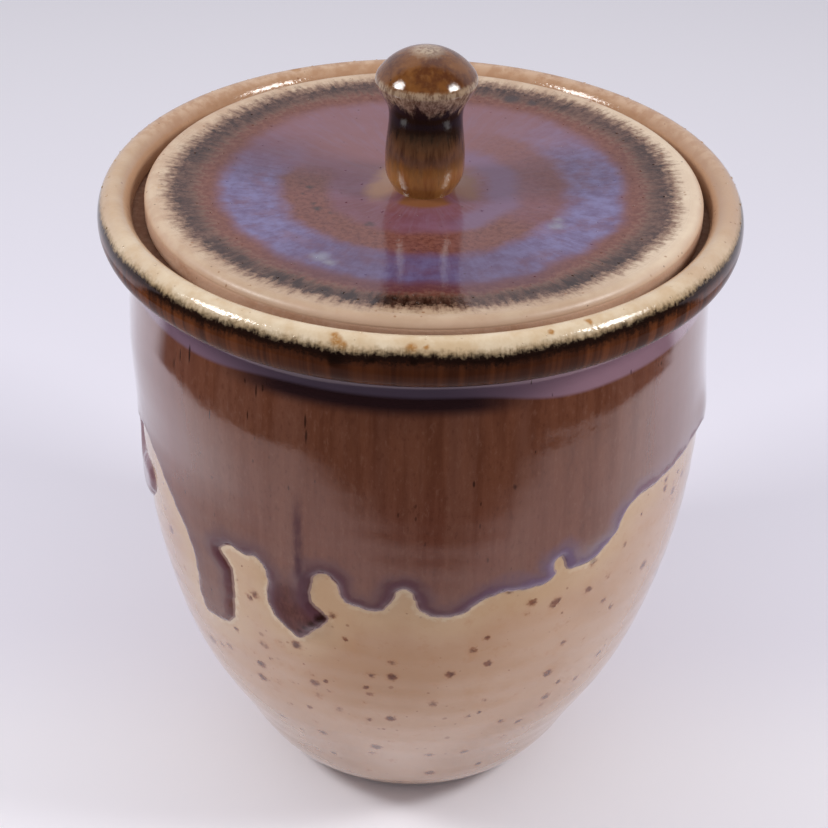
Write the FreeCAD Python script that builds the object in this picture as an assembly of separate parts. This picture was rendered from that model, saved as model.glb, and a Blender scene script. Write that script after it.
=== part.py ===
import FreeCAD, Part
import math
import os

# Hand-thrown stoneware bean pot with a drop-in lid. Millimetres, +Z up.
# Origin: centre of the foot, on the surface that the pot stands on.
# The fired glaze coats are real layers with real thickness, so each is a solid of its own.

V = FreeCAD.Vector
AXIS = V(0, 0, 1)

# --- Driving dimensions -------------------------------------------------------------

# Rolled rim: an oval bead, measured over its glaze.
BEAD_R = 72.0            # radius of the bead's centre line
BEAD_Z = 157.5           # height of the bead's centre
BEAD_OUT = 4.0           # half width of the bead, glazed
BEAD_UP = 5.8            # half height of the bead, glazed
RIM_GLAZE = 0.5          # thickness of glaze on the bead
FRINGE_Z = 160.6         # where the rim glaze meets the run glaze on the bead's shoulder

# Wall of the pot, bare clay: (radius, height), from the foot's edge to the neck.
FOOT_R = 29.5            # edge of the flat contact ring
RECESS_R = 22.0          # shallow trimmed recess inside the contact ring
RECESS = 1.0
FOOT_TURN = (35.2, 3.6)  # end of the rounded lower edge, where the wall starts
WALL = [
    FOOT_TURN, (41.2, 9.0), (48.2, 21.0), (56.8, 37.5),
    (64.3, 60.0), (68.4, 82.0), (69.8, 106.0), (69.7, 128.0),
]
NECK = (68.4, 148.0)     # narrowest part, just under the bead

# Inside of the pot.
WALL_T = 5.6             # clay thickness of the wall
FLOOR = 7.0              # clay thickness of the floor
LEDGE_Z = 156.5          # gallery seat that carries the lid
LEDGE_R = 59.5           # inner edge of the gallery seat
LEDGE_ROOT_Z = 146.0     # where the ledge starts to swell out of the wall
GALLERY_R = 68.5         # upright wall around the lid, bare clay
SEAT_BARE = 0.6          # unglazed height above the seat, so that the lid doesn't fuse to it
LIP_Z = 152.5            # lower end of the ledge's upright inner face
LIP_ROUND = 1.2          # rounding of the ledge's inner edge
FLOOR_TURN = 9.0         # width of the rounded corner between floor and wall
LINER = 0.5              # thickness of the liner glaze

# Run glaze: thin on the neck, thick along the edge where it stopped running.
RUN_T = [(62.0, 0.9), (82.0, 0.9), (106.0, 0.9), (128.0, 0.8)]   # (height, thickness)
RUN_NECK_T = 0.6
RUN_GIRTH_R = 70.0       # radius at which the run edge is laid out
RUN_SECTORS = 12         # sectors in which the coat is parted along its edge

# Edge of the run glaze: (angle from +X in degrees, height), counter-clockwise from the back left.
# It hooks round a bare notch on the left, ends in two long tongues front left and rises to the right.
RUN_EDGE = [
    (-178, 84), (-170, 82), (-163, 85), (-158.2, 90), (-157, 94.5), (-160, 97), (-166.5, 95.5),
    (-172, 96.5), (-172.5, 100.5), (-167, 104), (-161.7, 106.8), (-156, 105.8), (-151.2, 102.3),
    (-147.1, 97.6), (-143.5, 93.3), (-141.3, 89.5), (-139.9, 80.2), (-140.3, 72.6), (-138.7, 67.6),
    (-135.3, 67.8), (-131.3, 69.7), (-128.7, 79.5), (-128.3, 84.5), (-129.6, 90.8), (-131.3, 92.9),
    (-128.4, 95.6), (-125.1, 95.2), (-122.6, 95.8), (-120.4, 94.2), (-119.9, 85.6), (-119.1, 81.1),
    (-116.1, 77.1), (-113.3, 75.1), (-111.3, 76.8), (-108.6, 80.6), (-106.8, 84.2), (-108.5, 85.8),
    (-110.2, 88.6), (-110.2, 93.1), (-108.8, 96.7), (-106.9, 97.3), (-105.1, 95), (-103.9, 91.1),
    (-99.8, 88.8), (-96.1, 89.2), (-94.4, 92.4), (-92.7, 95.8), (-90.7, 94.6), (-89.3, 89.8),
    (-86.2, 87.7), (-82.5, 87.5), (-80, 89), (-76.9, 91.9), (-73.5, 93.2), (-68.1, 92.9),
    (-64.2, 93.6), (-62.8, 95.8), (-63.2, 99.2), (-62.2, 100.2), (-61.2, 98.8), (-60.7, 96.2),
    (-58.4, 95.4), (-55.1, 95.2), (-52.1, 97.4), (-49, 100.7), (-47.2, 104.8), (-45.1, 107.2),
    (-41.3, 107.9), (-32.2, 108.3), (-22.2, 109.1), (-16.5, 108.8), (-11, 105), (-4, 102.5),
    (5, 103.5), (16, 99), (24, 96.5), (31, 101), (40, 104.5), (52, 96), (60, 88.5), (67, 92),
    (75, 98.5), (88, 101.5), (99, 94), (106, 83.5), (113, 82), (119, 91.5), (128, 99),
    (140, 96.5), (150, 90.5), (158, 97), (166, 101.5), (174, 93),
]

# Drop-in lid: a shallow thrown saucer with a rounded edge, bare on its side.
LID_SHIFT = 0.7          # the lid lies a little to one side in its gallery
LID_R = 65.6
LID_EDGE = 2.3           # rounding of the upper edge
LID_UNDER_EDGE = 1.4     # rounding of the lower edge
LID_TOP = [(0.0, 160.5), (22.0, 160.7), (44.0, 161.4)]   # clay surface, centre outwards
LID_SHOULDER = (LID_R - LID_EDGE, 162.9)
LID_SEAT_IN = 57.0       # inner radius of the flat seat on the underside
LID_BELLY_Z = 154.8      # lowest point of the underside
LID_GLAZE = 0.5
LID_GLAZE_R = 64.7       # the glaze thins out on the rounded edge
KNOB_POOL = [(6.0, 162.5), (8.6, 161.7), (12.0, 161.2)]  # glaze surface, drawn up round the knob's foot

# Thrown knob, measured over its glaze, joined to the lid before firing.
KNOB_FOOT = (6.6, 159.8)
KNOB_STEM = [(7.2, 161.7), (8.85, 164.9), (9.35, 168.2), (8.8, 176.5), (9.15, 183.3)]
KNOB_FLARE = (10.75, 186.1)
KNOB_BRIM = (11.85, 188.6)
KNOB_CREASE = (11.45, 190.1)
KNOB_APEX_Z = 196.3
KNOB_GLAZE = 0.45


# --- Profile helpers, all in the XZ plane -----------------------------------------------

def at(radius, height):
    return V(radius, 0, height)


def line(a, b):
    return Part.makeLine(at(*a), at(*b))


def spline(points):
    curve = Part.BSplineCurve()
    curve.interpolate(Points=[at(*p) for p in points])
    return curve.toShape()


def arc(a, through, b):
    return Part.Arc(at(*a), at(*through), at(*b)).toShape()


def bead_arc(skin, start, end):
    """Part of the bead's oval, `skin` inside the glazed size; angles in degrees from its top, outwards."""
    top = at(BEAD_R, BEAD_Z + BEAD_UP - skin)
    side = at(BEAD_R + BEAD_OUT - skin, BEAD_Z)
    oval = Part.Ellipse(top, side, at(BEAD_R, BEAD_Z))
    return Part.ArcOfEllipse(oval, math.radians(start), math.radians(end)).toShape()


def cove(neck, bead_bottom):
    """Hollow under the bead: a quarter round from the neck up to the bead's underside."""
    out = bead_bottom[0] - neck[0]
    up = bead_bottom[1] - neck[1]
    middle = (neck[0] + out * (1 - math.cos(math.pi / 4)), neck[1] + up * math.sin(math.pi / 4))
    return arc(neck, middle, bead_bottom)


def revolve(edges, centre_x=0.0):
    face = Part.Face(Part.Wire(Part.__sortEdges__(edges)))
    solid = face.revolve(V(0, 0, 0), AXIS, 360)
    solid.translate(V(centre_x, 0, 0))
    return solid


# --- Pot ------------------------------------------------------------------------------

def outer_wall():
    curve = Part.BSplineCurve()
    curve.interpolate(Points=[at(*p) for p in WALL + [NECK]])
    return curve


def clay_radius(height):
    """Outer radius of the bare clay wall at a height."""
    level = Part.Line(at(0, height), at(1, height))
    return outer_wall().intersect(level)[0].X


def inner_wall():
    """Inside of the wall from floor to ledge: the outer wall set in square to its slope."""
    points = []
    for (r0, z0), (r1, z1) in zip(WALL[1:], WALL[2:] + [NECK]):
        run = math.hypot(r1 - r0, z1 - z0)
        r = (r0 + r1) / 2 - WALL_T * (z1 - z0) / run
        z = (z0 + z1) / 2 + WALL_T * (r1 - r0) / run
        points.append((r, z))
    return points


def inside_edges(skin):
    """Inside surface from the axis up to the lip of the ledge, with `skin` of glaze on the clay."""
    wall = [(r - skin, z) for r, z in inner_wall()]
    floor_edge = (wall[0][0] - FLOOR_TURN, FLOOR + skin)
    corner = (floor_edge[0] + 0.7 * FLOOR_TURN, floor_edge[1] + 0.25 * FLOOR_TURN)
    root = (wall[-1][0], LEDGE_ROOT_Z)
    lip = (LEDGE_R - skin, LIP_Z)
    swell = ((root[0] + lip[0]) / 2, (root[1] + lip[1]) / 2)
    return [
        line((0, floor_edge[1]), floor_edge),
        arc(floor_edge, corner, wall[0]),
        spline(wall + [root, swell, lip]),
    ]


def cavity(skin):
    """The hollow of the pot up to the lip, less `skin` of glaze."""
    lip = (LEDGE_R - skin, LIP_Z)
    return revolve(inside_edges(skin) + [line(lip, (0, LIP_Z)), line((0, LIP_Z), (0, FLOOR + skin))])


def rim_edges(neck, skin, gallery_foot):
    """Cove, rolled bead and gallery wall down to a height; `skin` of glaze on the clay."""
    gallery = GALLERY_R - skin
    return [
        cove(neck, (BEAD_R, BEAD_Z - BEAD_UP + RIM_GLAZE - skin)),
        bead_arc(RIM_GLAZE - skin, -90, 180),
        line((gallery, BEAD_Z), (gallery, gallery_foot)),
    ]


def foot_edges():
    recess_edge = RECESS_R + 1.5 * RECESS
    return [
        line((0, RECESS), (RECESS_R, RECESS)),
        line((RECESS_R, RECESS), (recess_edge, 0)),
        line((recess_edge, 0), (FOOT_R, 0)),
        arc((FOOT_R, 0), (FOOT_R + 0.6 * (FOOT_TURN[0] - FOOT_R), 0.34 * FOOT_TURN[1]), FOOT_TURN),
    ]


def pot_body():
    ledge_top = (LEDGE_R + LIP_ROUND, LEDGE_Z)
    ledge_side = (LEDGE_R, LEDGE_Z - LIP_ROUND)
    ledge_mid = (LEDGE_R + 0.3 * LIP_ROUND, LEDGE_Z - 0.3 * LIP_ROUND)
    seat = [
        line((GALLERY_R, LEDGE_Z), ledge_top),
        arc(ledge_top, ledge_mid, ledge_side),
        line(ledge_side, (LEDGE_R, LIP_Z)),
    ]
    wall = outer_wall().toShape()
    spine = line((0, FLOOR), (0, RECESS))
    outside = foot_edges() + [wall] + rim_edges(NECK, 0.0, LEDGE_Z)
    return revolve(outside + seat + inside_edges(0.0) + [spine])


def outer_coat():
    """All the glaze on the outside and the rim: what lies between the glazed and the bare surface."""
    stop = LEDGE_Z + SEAT_BARE
    low = RUN_T[0][0]
    skin = [(clay_radius(z) + t, z) for z, t in RUN_T] + [(NECK[0] + RUN_NECK_T, NECK[1])]
    lid = line((GALLERY_R - RIM_GLAZE, stop), (0, stop))
    glazed = revolve([line((0, low), skin[0]), spline(skin), lid, line((0, stop), (0, low))]
                     + rim_edges(skin[-1], RIM_GLAZE, stop))
    bare = revolve(foot_edges() + [outer_wall().toShape()] + rim_edges(NECK, 0.0, stop)
                   + [line((GALLERY_R, stop), (0, stop)), line((0, stop), (0, RECESS))])
    return glazed.cut(bare)


def run_edge_surface():
    """Lobed washer that crosses the wall along the run edge and parts the glaze from what lies below it."""
    closed = RUN_EDGE + [(RUN_EDGE[0][0] + 360, RUN_EDGE[0][1])]
    flat = [(math.radians(angle) * RUN_GIRTH_R, height) for angle, height in closed]
    marks = [0.0]
    for (x0, z0), (x1, z1) in zip(flat, flat[1:]):
        marks.append(marks[-1] + math.hypot(x1 - x0, z1 - z0))

    def edge(radius):
        turns = [(math.radians(angle), height) for angle, height in RUN_EDGE]
        points = [V(radius * math.cos(turn), radius * math.sin(turn), height) for turn, height in turns]
        curve = Part.BSplineCurve()
        curve.interpolate(Points=points, PeriodicFlag=True, Parameters=marks)
        return curve.toShape()

    return Part.makeRuledSurface(edge(0.8 * RUN_GIRTH_R), edge(1.2 * RUN_GIRTH_R))


def above_run_edge(coat):
    """The coat above the run edge, parted sector by sector so that no face of it wraps the whole pot."""
    edge = run_edge_surface()
    turn = 360 / RUN_SECTORS
    kept = []
    for sector in range(RUN_SECTORS):
        wedge = Part.makeCylinder(2 * BEAD_R, 2 * BEAD_Z, V(0, 0, 0), AXIS, turn)
        wedge.rotate(V(0, 0, 0), AXIS, (sector + 0.1) * turn)
        pieces, _ = coat.common(wedge).generalFuse([edge])
        kept.append(max(pieces.Solids, key=lambda piece: piece.BoundBox.ZMax))
    return kept[0].multiFuse(kept[1:])


def part_coat(coat):
    """Part the outer coat at the fringe on the bead and at the run edge; return rim glaze and run glaze."""
    top = BEAD_Z + 2 * BEAD_UP
    above = Part.makeCylinder(2 * BEAD_R, top - FRINGE_Z, at(0, FRINGE_Z))
    gallery = Part.makeCylinder(BEAD_R, top - LEDGE_Z, at(0, LEDGE_Z))
    rim_zone = above.fuse(gallery)
    return coat.common(rim_zone), above_run_edge(coat.cut(rim_zone))


def liner_glaze():
    return cavity(0.0).cut(cavity(LINER))


# --- Lid ------------------------------------------------------------------------------

def lid_plate():
    side = (LID_R, LID_SHOULDER[1] - LID_EDGE)
    half_round = LID_EDGE * math.sin(math.pi / 4)
    round_mid = (LID_SHOULDER[0] + half_round, side[1] + half_round)
    low_side = (LID_R, LEDGE_Z + LID_UNDER_EDGE)
    seat_out = (LID_R - LID_UNDER_EDGE, LEDGE_Z)
    low_mid = (LID_R - 0.3 * LID_UNDER_EDGE, LEDGE_Z + 0.3 * LID_UNDER_EDGE)
    belly_mid = (LID_SEAT_IN / 2, LID_BELLY_Z + 0.1)
    belly = [(LID_SEAT_IN, LEDGE_Z), (0.9 * LID_SEAT_IN, LEDGE_Z - 0.7), belly_mid, (0, LID_BELLY_Z)]
    return revolve([
        spline(LID_TOP + [LID_SHOULDER]),
        arc(LID_SHOULDER, round_mid, side),
        line(side, low_side),
        arc(low_side, low_mid, seat_out),
        line(seat_out, (LID_SEAT_IN, LEDGE_Z)),
        spline(belly),
        line((0, LID_BELLY_Z), LID_TOP[0]),
    ], LID_SHIFT)


def lid_glaze(plate, knob_outside):
    """Glaze on the top of the lid: drawn up round the knob, thinning to nothing over the rounded edge."""
    top = KNOB_POOL + [(r, z + LID_GLAZE) for r, z in LID_TOP[1:]]
    shoulder = (LID_SHOULDER[0], LID_SHOULDER[1] + 0.8 * LID_GLAZE)
    side = (LID_R, LID_SHOULDER[1] - LID_EDGE)
    half_round = (LID_EDGE + 0.5 * LID_GLAZE) * math.sin(math.pi / 4)
    under = LID_BELLY_Z
    blank = revolve([
        line((0, top[0][1]), top[0]),
        spline(top + [shoulder]),
        arc(shoulder, (LID_SHOULDER[0] + half_round, side[1] + half_round), side),
        line(side, (LID_R, under)),
        line((LID_R, under), (0, under)),
        line((0, under), (0, top[0][1])),
    ], LID_SHIFT)
    glazed_area = Part.makeCylinder(LID_GLAZE_R, 2 * (shoulder[1] - under), V(LID_SHIFT, 0, under))
    return blank.cut(plate).cut(knob_outside).common(glazed_area)


def knob_form(skin):
    """Knob with its surface set in by `skin`: swelling stem, flared neck, sharp brim and low dome."""
    foot = (KNOB_FOOT[0] - skin, KNOB_FOOT[1])
    stem = [(r - skin, z) for r, z in KNOB_STEM]
    flare = (KNOB_FLARE[0] - skin, KNOB_FLARE[1] + 0.4 * skin)
    brim = (KNOB_BRIM[0] - skin, KNOB_BRIM[1])
    crease = (KNOB_CREASE[0] - skin, KNOB_CREASE[1] - 0.7 * skin)
    apex = (0, KNOB_APEX_Z - skin)
    rise = apex[1] - crease[1]
    dome_r = (crease[0] ** 2 + rise ** 2) / (2 * rise)
    half = math.asin(crease[0] / dome_r) / 2
    shoulder = (dome_r * math.sin(half), apex[1] - dome_r * (1 - math.cos(half)))
    return revolve([
        line((0, foot[1]), foot),
        spline([foot] + stem + [flare, brim]),
        arc(brim, ((brim[0] + crease[0]) / 2 + 0.05, (brim[1] + crease[1]) / 2 + 0.1), crease),
        arc(crease, shoulder, apex),
        line(apex, (0, foot[1])),
    ], LID_SHIFT)


# --- Build ------------------------------------------------------------------------------

def build():
    pot = pot_body()
    rim_glaze, run_glaze = part_coat(outer_coat())
    plate = lid_plate()
    knob_outside = knob_form(0.0).cut(plate)
    knob = knob_form(KNOB_GLAZE).cut(plate)
    return {
        "pot_body": pot,
        "run_glaze": run_glaze,
        "rim_glaze": rim_glaze,
        "liner_glaze": liner_glaze(),
        "lid_plate": plate,
        "lid_glaze": lid_glaze(plate, knob_outside),
        "lid_knob": knob,
        "knob_glaze": knob_outside.cut(knob),
    }


os.makedirs("parts", exist_ok=True)
for node, shape in build().items():
    solids = shape.Solids
    piece = solids[0] if len(solids) == 1 else Part.makeCompound(solids)
    box = piece.BoundBox
    print(node, "solids", len(solids), "valid", piece.isValid(), "volume %.0f" % piece.Volume,
          "x %.2f %.2f z %.2f %.2f" % (box.XMin, box.XMax, box.ZMin, box.ZMax))
    piece.exportStep("parts/%s.step" % node)
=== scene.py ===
import math

import bmesh
import bpy
import numpy as np
from mathutils import Matrix, Vector, kdtree


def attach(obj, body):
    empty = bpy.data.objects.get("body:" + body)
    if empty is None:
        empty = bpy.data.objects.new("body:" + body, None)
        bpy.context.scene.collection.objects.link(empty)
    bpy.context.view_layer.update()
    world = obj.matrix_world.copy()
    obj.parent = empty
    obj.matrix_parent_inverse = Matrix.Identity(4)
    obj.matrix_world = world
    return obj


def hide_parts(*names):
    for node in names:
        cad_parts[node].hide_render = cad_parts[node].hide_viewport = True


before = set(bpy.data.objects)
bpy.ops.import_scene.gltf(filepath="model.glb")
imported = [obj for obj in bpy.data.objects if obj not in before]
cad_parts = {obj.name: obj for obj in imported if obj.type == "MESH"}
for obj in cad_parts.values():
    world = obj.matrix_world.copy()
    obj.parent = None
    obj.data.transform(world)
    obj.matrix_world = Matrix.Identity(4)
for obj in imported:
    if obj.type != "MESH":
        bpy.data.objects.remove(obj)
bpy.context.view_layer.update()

# Hand-thrown stoneware bean pot with a drop-in lid. Sizes are written in millimetres and the
# meshes are made in metres. The clay is one turned piece, and every fired glaze is a coat over it.
MM = 0.001

# --- Sizes of the pot -------------------------------------------------------------------

BEAD_R, BEAD_Z = 72.0, 157.5        # centre of the rolled rim's oval
BEAD_OUT, BEAD_UP = 4.0, 5.8        # its half width and half height, glazed
RIM_GLAZE = 0.5
FRINGE_TURN = 57.7                  # degrees from the bead's top to where the two glazes meet
FOOT_R, RECESS_R, RECESS = 29.5, 22.0, 1.0
FOOT_TURN = (35.2, 3.6)
# The clay's outside from the foot up to the neck: (radius, height).
WALL = [FOOT_TURN, (41.2, 9.0), (48.2, 21.0), (56.8, 37.5),
        (64.3, 60.0), (68.4, 82.0), (69.8, 106.0), (69.7, 128.0)]
NECK = (68.4, 148.0)
BELLY_SWAY = 0.95                   # the belly leans this far to the right of its foot and rim
WALL_T, FLOOR, FLOOR_TURN = 5.6, 7.0, 9.0
LEDGE_Z, LEDGE_R, LEDGE_ROOT_Z = 156.5, 59.5, 146.0
GALLERY_R, SEAT_BARE = 68.5, 0.6
LIP_Z, LIP_ROUND = 152.5, 1.2
LINER = 0.5
COAT_ROOT = 0.15                    # a coat reaches this deep into the clay, so that no gap shows

# --- Sizes of the run glaze -------------------------------------------------------------

# Its thickness: (height, thickness).
RUN_T = [(62.0, 0.9), (106.0, 0.9), (128.0, 0.8), (148.0, 0.6), (152.2, 0.5)]
RUN_GIRTH_R = 70.0                  # radius at which the run edge is laid out
RUN_GIRTH = 2 * math.pi * RUN_GIRTH_R
RUN_LOW, RUN_LOBES = 63.0, 112.0    # the sheet from which the coat is cut starts here; lobes end here
RUN_FINE, RUN_COARSE = 0.54, 2.2    # its rows are this far apart among the lobes, and above them
RUN_ROOT = 0.25                     # its underside is hidden this deep under where the coat ends
# Its lower edge, once round the pot, as in the solids: (degrees, height).
RUN_EDGE = [
    (-178, 84), (-170, 82), (-163, 85), (-158.2, 90), (-157, 94.5), (-160, 97), (-166.5, 95.5),
    (-172, 96.5), (-172.5, 100.5), (-167, 104), (-161.7, 106.8), (-156, 105.8), (-151.2, 102.3),
    (-147.1, 97.6), (-143.5, 93.3), (-141.3, 89.5), (-139.9, 80.2), (-140.3, 72.6), (-138.7, 67.6),
    (-135.3, 67.8), (-131.3, 69.7), (-128.7, 79.5), (-128.3, 84.5), (-129.6, 90.8), (-131.3, 92.9),
    (-128.4, 95.6), (-125.1, 95.2), (-122.6, 95.8), (-120.4, 94.2), (-119.9, 85.6), (-119.1, 81.1),
    (-116.1, 77.1), (-113.3, 75.1), (-111.3, 76.8), (-108.6, 80.6), (-106.8, 84.2), (-108.5, 85.8),
    (-110.2, 88.6), (-110.2, 93.1), (-108.8, 96.7), (-106.9, 97.3), (-105.1, 95), (-103.9, 91.1),
    (-99.8, 88.8), (-96.1, 89.2), (-94.4, 92.4), (-92.7, 95.8), (-90.7, 94.6), (-89.3, 89.8),
    (-86.2, 87.7), (-82.5, 87.5), (-80, 89), (-76.9, 91.9), (-73.5, 93.2), (-68.1, 92.9),
    (-64.2, 93.6), (-62.8, 95.8), (-63.2, 99.2), (-62.2, 100.2), (-61.2, 98.8), (-60.7, 96.2),
    (-58.4, 95.4), (-55.1, 95.2), (-52.1, 97.4), (-49, 100.7), (-47.2, 104.8), (-45.1, 107.2),
    (-41.3, 107.9), (-32.2, 108.3), (-22.2, 109.1), (-16.5, 108.8), (-11, 105), (-4, 102.5),
    (5, 103.5), (16, 99), (24, 96.5), (31, 101), (40, 104.5), (52, 96), (60, 88.5), (67, 92),
    (75, 98.5), (88, 101.5), (99, 94), (106, 83.5), (113, 82), (119, 91.5), (128, 99),
    (140, 96.5), (150, 90.5), (158, 97), (166, 101.5), (174, 93),
]
# Fine waves along the run edge: (length, phase, height).
RUN_RAGGED = [(7.3, 0.4, 0.13), (3.9, 2.1, 0.09), (2.3, 4.0, 0.05), (1.4, 1.2, 0.03)]
# Where the coat is thicker: (degrees, height, reach round the pot, reach up and down, extra).
RUN_SWELLS = [(-171, 86, 5.0, 6.0, 0.35), (-15, 113, 7.0, 5.0, 0.8), (-54, 104, 9.0, 4.5, 0.35),
              (-111.5, 104, 2.2, 13.0, 0.25), (-110, 82, 3.0, 3.5, 0.4)]

# --- Sizes of the lid and its knob ------------------------------------------------------

LID_SHIFT = 0.7
LID_R, LID_EDGE, LID_UNDER_EDGE = 65.6, 2.3, 1.4
LID_TOP = [(0.0, 160.5), (22.0, 160.7), (44.0, 161.4)]
LID_SHOULDER = (LID_R - LID_EDGE, 162.9)
LID_SIDE = (LID_R, LID_SHOULDER[1] - LID_EDGE)
LID_SEAT_IN, LID_BELLY_Z = 57.0, 154.8
LID_GLAZE, LID_COAT_ROOT = 0.5, 0.12
KNOB_POOL = [(6.0, 162.5), (8.6, 161.7), (12.0, 161.2)]   # glaze surface, drawn up round the knob
KNOB_FOOT = (6.6, 159.8)
KNOB_STEM = [(7.2, 161.7), (8.85, 164.9), (9.35, 168.2), (8.8, 176.5), (9.15, 183.3)]
KNOB_FLARE, KNOB_BRIM, KNOB_CREASE = (10.75, 186.1), (11.85, 188.6), (11.45, 190.1)
KNOB_APEX_Z = 196.3
KNOB_GLAZE, KNOB_ROOT = 0.45, 0.05  # the knob's glaze, and how deep it reaches into the clay

# --- Where the camera and the studio stand ----------------------------------------------

CAMERA_AT, CAMERA_AIM = (0.0, -409.0, 365.1), (-0.53, 0.0, 97.53)
CAMERA_ROLL, CAMERA_LENS = 1.26, 83.68
SHEET_R, SHEET_SHIFT = 312.0, 12.0  # in reflections, the pale sheet under the pot ends here,
FRONT_NEAR, FRONT_MID, FRONT_SLOPE = 190.0, 40.0, 0.24   # and here in front of it
SHEET_SOFT, FRONT_SOFT = 6.0, 34.0  # half the width over which those two ends fade

# --- How finely the shapes are made -----------------------------------------------------

# Faces once round each turned piece.
COLUMNS = {"thrown_pot": 336, "run_glaze_coat": 576, "cream_rim_glaze": 512, "cream_liner_glaze": 256,
           "rim_grit": 96, "thrown_lid": 384, "lid_glaze_coat": 480, "thrown_knob": 96,
           "amber_knob_glaze": 160, "lid_grit": 96}
CREASE = 38                         # degrees: an edge sharper than this stays crisp
DIAGONAL = math.sqrt(0.5)           # where the middle of a quarter round lies, by its radius
SAME_SPOT, ON_AXIS = 1e-4, 1e-6     # points nearer than this are one; nearer the axis, on it


# --- Profiles: lists of (radius, height) ------------------------------------------------

def smooth_curve(points, spacing):
    """Natural cubic through the points, sampled about every `spacing`."""
    p = np.array(points, float)
    t = np.concatenate([[0.0], np.cumsum(np.hypot(*np.diff(p, axis=0).T))])
    h = np.diff(t)
    last = len(p) - 1
    bend, pull = np.eye(len(p)), np.zeros((len(p), 2))
    for i in range(1, last):
        bend[i, i - 1:i + 2] = h[i - 1], 2 * (h[i - 1] + h[i]), h[i]
        pull[i] = 6 * ((p[i + 1] - p[i]) / h[i] - (p[i] - p[i - 1]) / h[i - 1])
    m = np.linalg.solve(bend, pull)
    s = np.linspace(0, t[-1], max(2, round(t[-1] / spacing) + 1))
    k = np.clip(np.searchsorted(t, s, side="right") - 1, 0, last - 1)
    a, b, w = ((t[k + 1] - s) / h[k])[:, None], ((s - t[k]) / h[k])[:, None], (h[k] ** 2 / 6)[:, None]
    return a * p[k] + b * p[k + 1] + ((a ** 3 - a) * m[k] + (b ** 3 - b) * m[k + 1]) * w


def straight(a, b, spacing):
    count = max(2, round(math.dist(a, b) / spacing) + 1)
    return np.linspace(a, b, count)


def round_corner(a, middle, b, count=8):
    """Arc through three points."""
    (ax, ay), (bx, by), (cx, cy) = a, middle, b
    d = 2 * (ax * (by - cy) + bx * (cy - ay) + cx * (ay - by))
    ux = ((ax**2 + ay**2) * (by - cy) + (bx**2 + by**2) * (cy - ay) + (cx**2 + cy**2) * (ay - by)) / d
    uy = ((ax**2 + ay**2) * (cx - bx) + (bx**2 + by**2) * (ax - cx) + (cx**2 + cy**2) * (bx - ax)) / d
    turns = np.unwrap([math.atan2(y - uy, x - ux) for x, y in (a, middle, b)])
    turn = np.linspace(turns[0], turns[2], count)
    r = math.dist((ux, uy), a)
    return np.column_stack([ux + r * np.cos(turn), uy + r * np.sin(turn)])


def bead(glaze, start, end, count):
    """Part of the rim's oval with `glaze` on the clay; degrees from its top, outwards."""
    turn = np.radians(np.linspace(start, end, count))
    out, up = BEAD_OUT - RIM_GLAZE + glaze, BEAD_UP - RIM_GLAZE + glaze
    return np.column_stack([BEAD_R + out * np.sin(turn), BEAD_Z + up * np.cos(turn)])


def cove(neck, bead_bottom, count=12):
    """Hollow under the bead."""
    out, up = bead_bottom[0] - neck[0], bead_bottom[1] - neck[1]
    middle = (neck[0] + out * (1 - DIAGONAL), neck[1] + up * DIAGONAL)
    return round_corner(neck, middle, bead_bottom, count)


def directions(points):
    """Unit direction of a line of points at each of them."""
    along = np.gradient(points, axis=0)
    return along / np.hypot(*along.T)[:, None]


def joined(*runs):
    """One profile from several, without doubled points."""
    points = [np.array(runs[0][0], float)]
    for run in runs:
        for p in run:
            if math.dist(p, points[-1]) > SAME_SPOT:
                points.append(np.array(p, float))
    return np.array(points)


def inner_wall():
    points = []
    for (r0, z0), (r1, z1) in zip(WALL[1:], WALL[2:] + [NECK]):
        run = math.hypot(r1 - r0, z1 - z0)
        points.append(((r0 + r1) / 2 - WALL_T * (z1 - z0) / run, (z0 + z1) / 2 + WALL_T * (r1 - r0) / run))
    return points


def inside(skin):
    """Inside surface from the axis up to the lip of the ledge."""
    wall = [(r - skin, z) for r, z in inner_wall()]
    edge = (wall[0][0] - FLOOR_TURN, FLOOR + skin)
    corner = (edge[0] + 0.7 * FLOOR_TURN, edge[1] + 0.25 * FLOOR_TURN)
    root, lip = (wall[-1][0], LEDGE_ROOT_Z), (LEDGE_R - skin, LIP_Z)
    swell = ((root[0] + lip[0]) / 2, (root[1] + lip[1]) / 2)
    return joined(straight((0, edge[1]), edge, 3.0), round_corner(edge, corner, wall[0]),
                  smooth_curve(wall + [root, swell, lip], 2.5))


def clay_profile():
    """The pot's bare clay, from the middle of the recess, round the outside and back down the inside."""
    ledge_top, ledge_side = (LEDGE_R + LIP_ROUND, LEDGE_Z), (LEDGE_R, LEDGE_Z - LIP_ROUND)
    ledge_mid = (LEDGE_R + 0.3 * LIP_ROUND, LEDGE_Z - 0.3 * LIP_ROUND)
    foot_mid = (FOOT_R + 0.6 * (FOOT_TURN[0] - FOOT_R), 0.34 * FOOT_TURN[1])
    rim = bead(0.0, 180, -90, 40)
    return joined(
        straight((0, RECESS), (RECESS_R, RECESS), 4.0),
        straight((RECESS_R, RECESS), (RECESS_R + 1.5 * RECESS, 0), 0.6),
        straight((RECESS_R + 1.5 * RECESS, 0), (FOOT_R, 0), 1.5),
        round_corner((FOOT_R, 0), foot_mid, FOOT_TURN, 10),
        smooth_curve(WALL + [NECK], 1.2),
        cove(NECK, rim[0]), rim,
        straight((GALLERY_R, BEAD_Z), (GALLERY_R, LEDGE_Z), 0.5),
        straight((GALLERY_R, LEDGE_Z), ledge_top, 1.5),
        round_corner(ledge_top, ledge_mid, ledge_side, 6),
        straight(ledge_side, (LEDGE_R, LIP_Z), 0.9),
        inside(0.0)[::-1])


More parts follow.
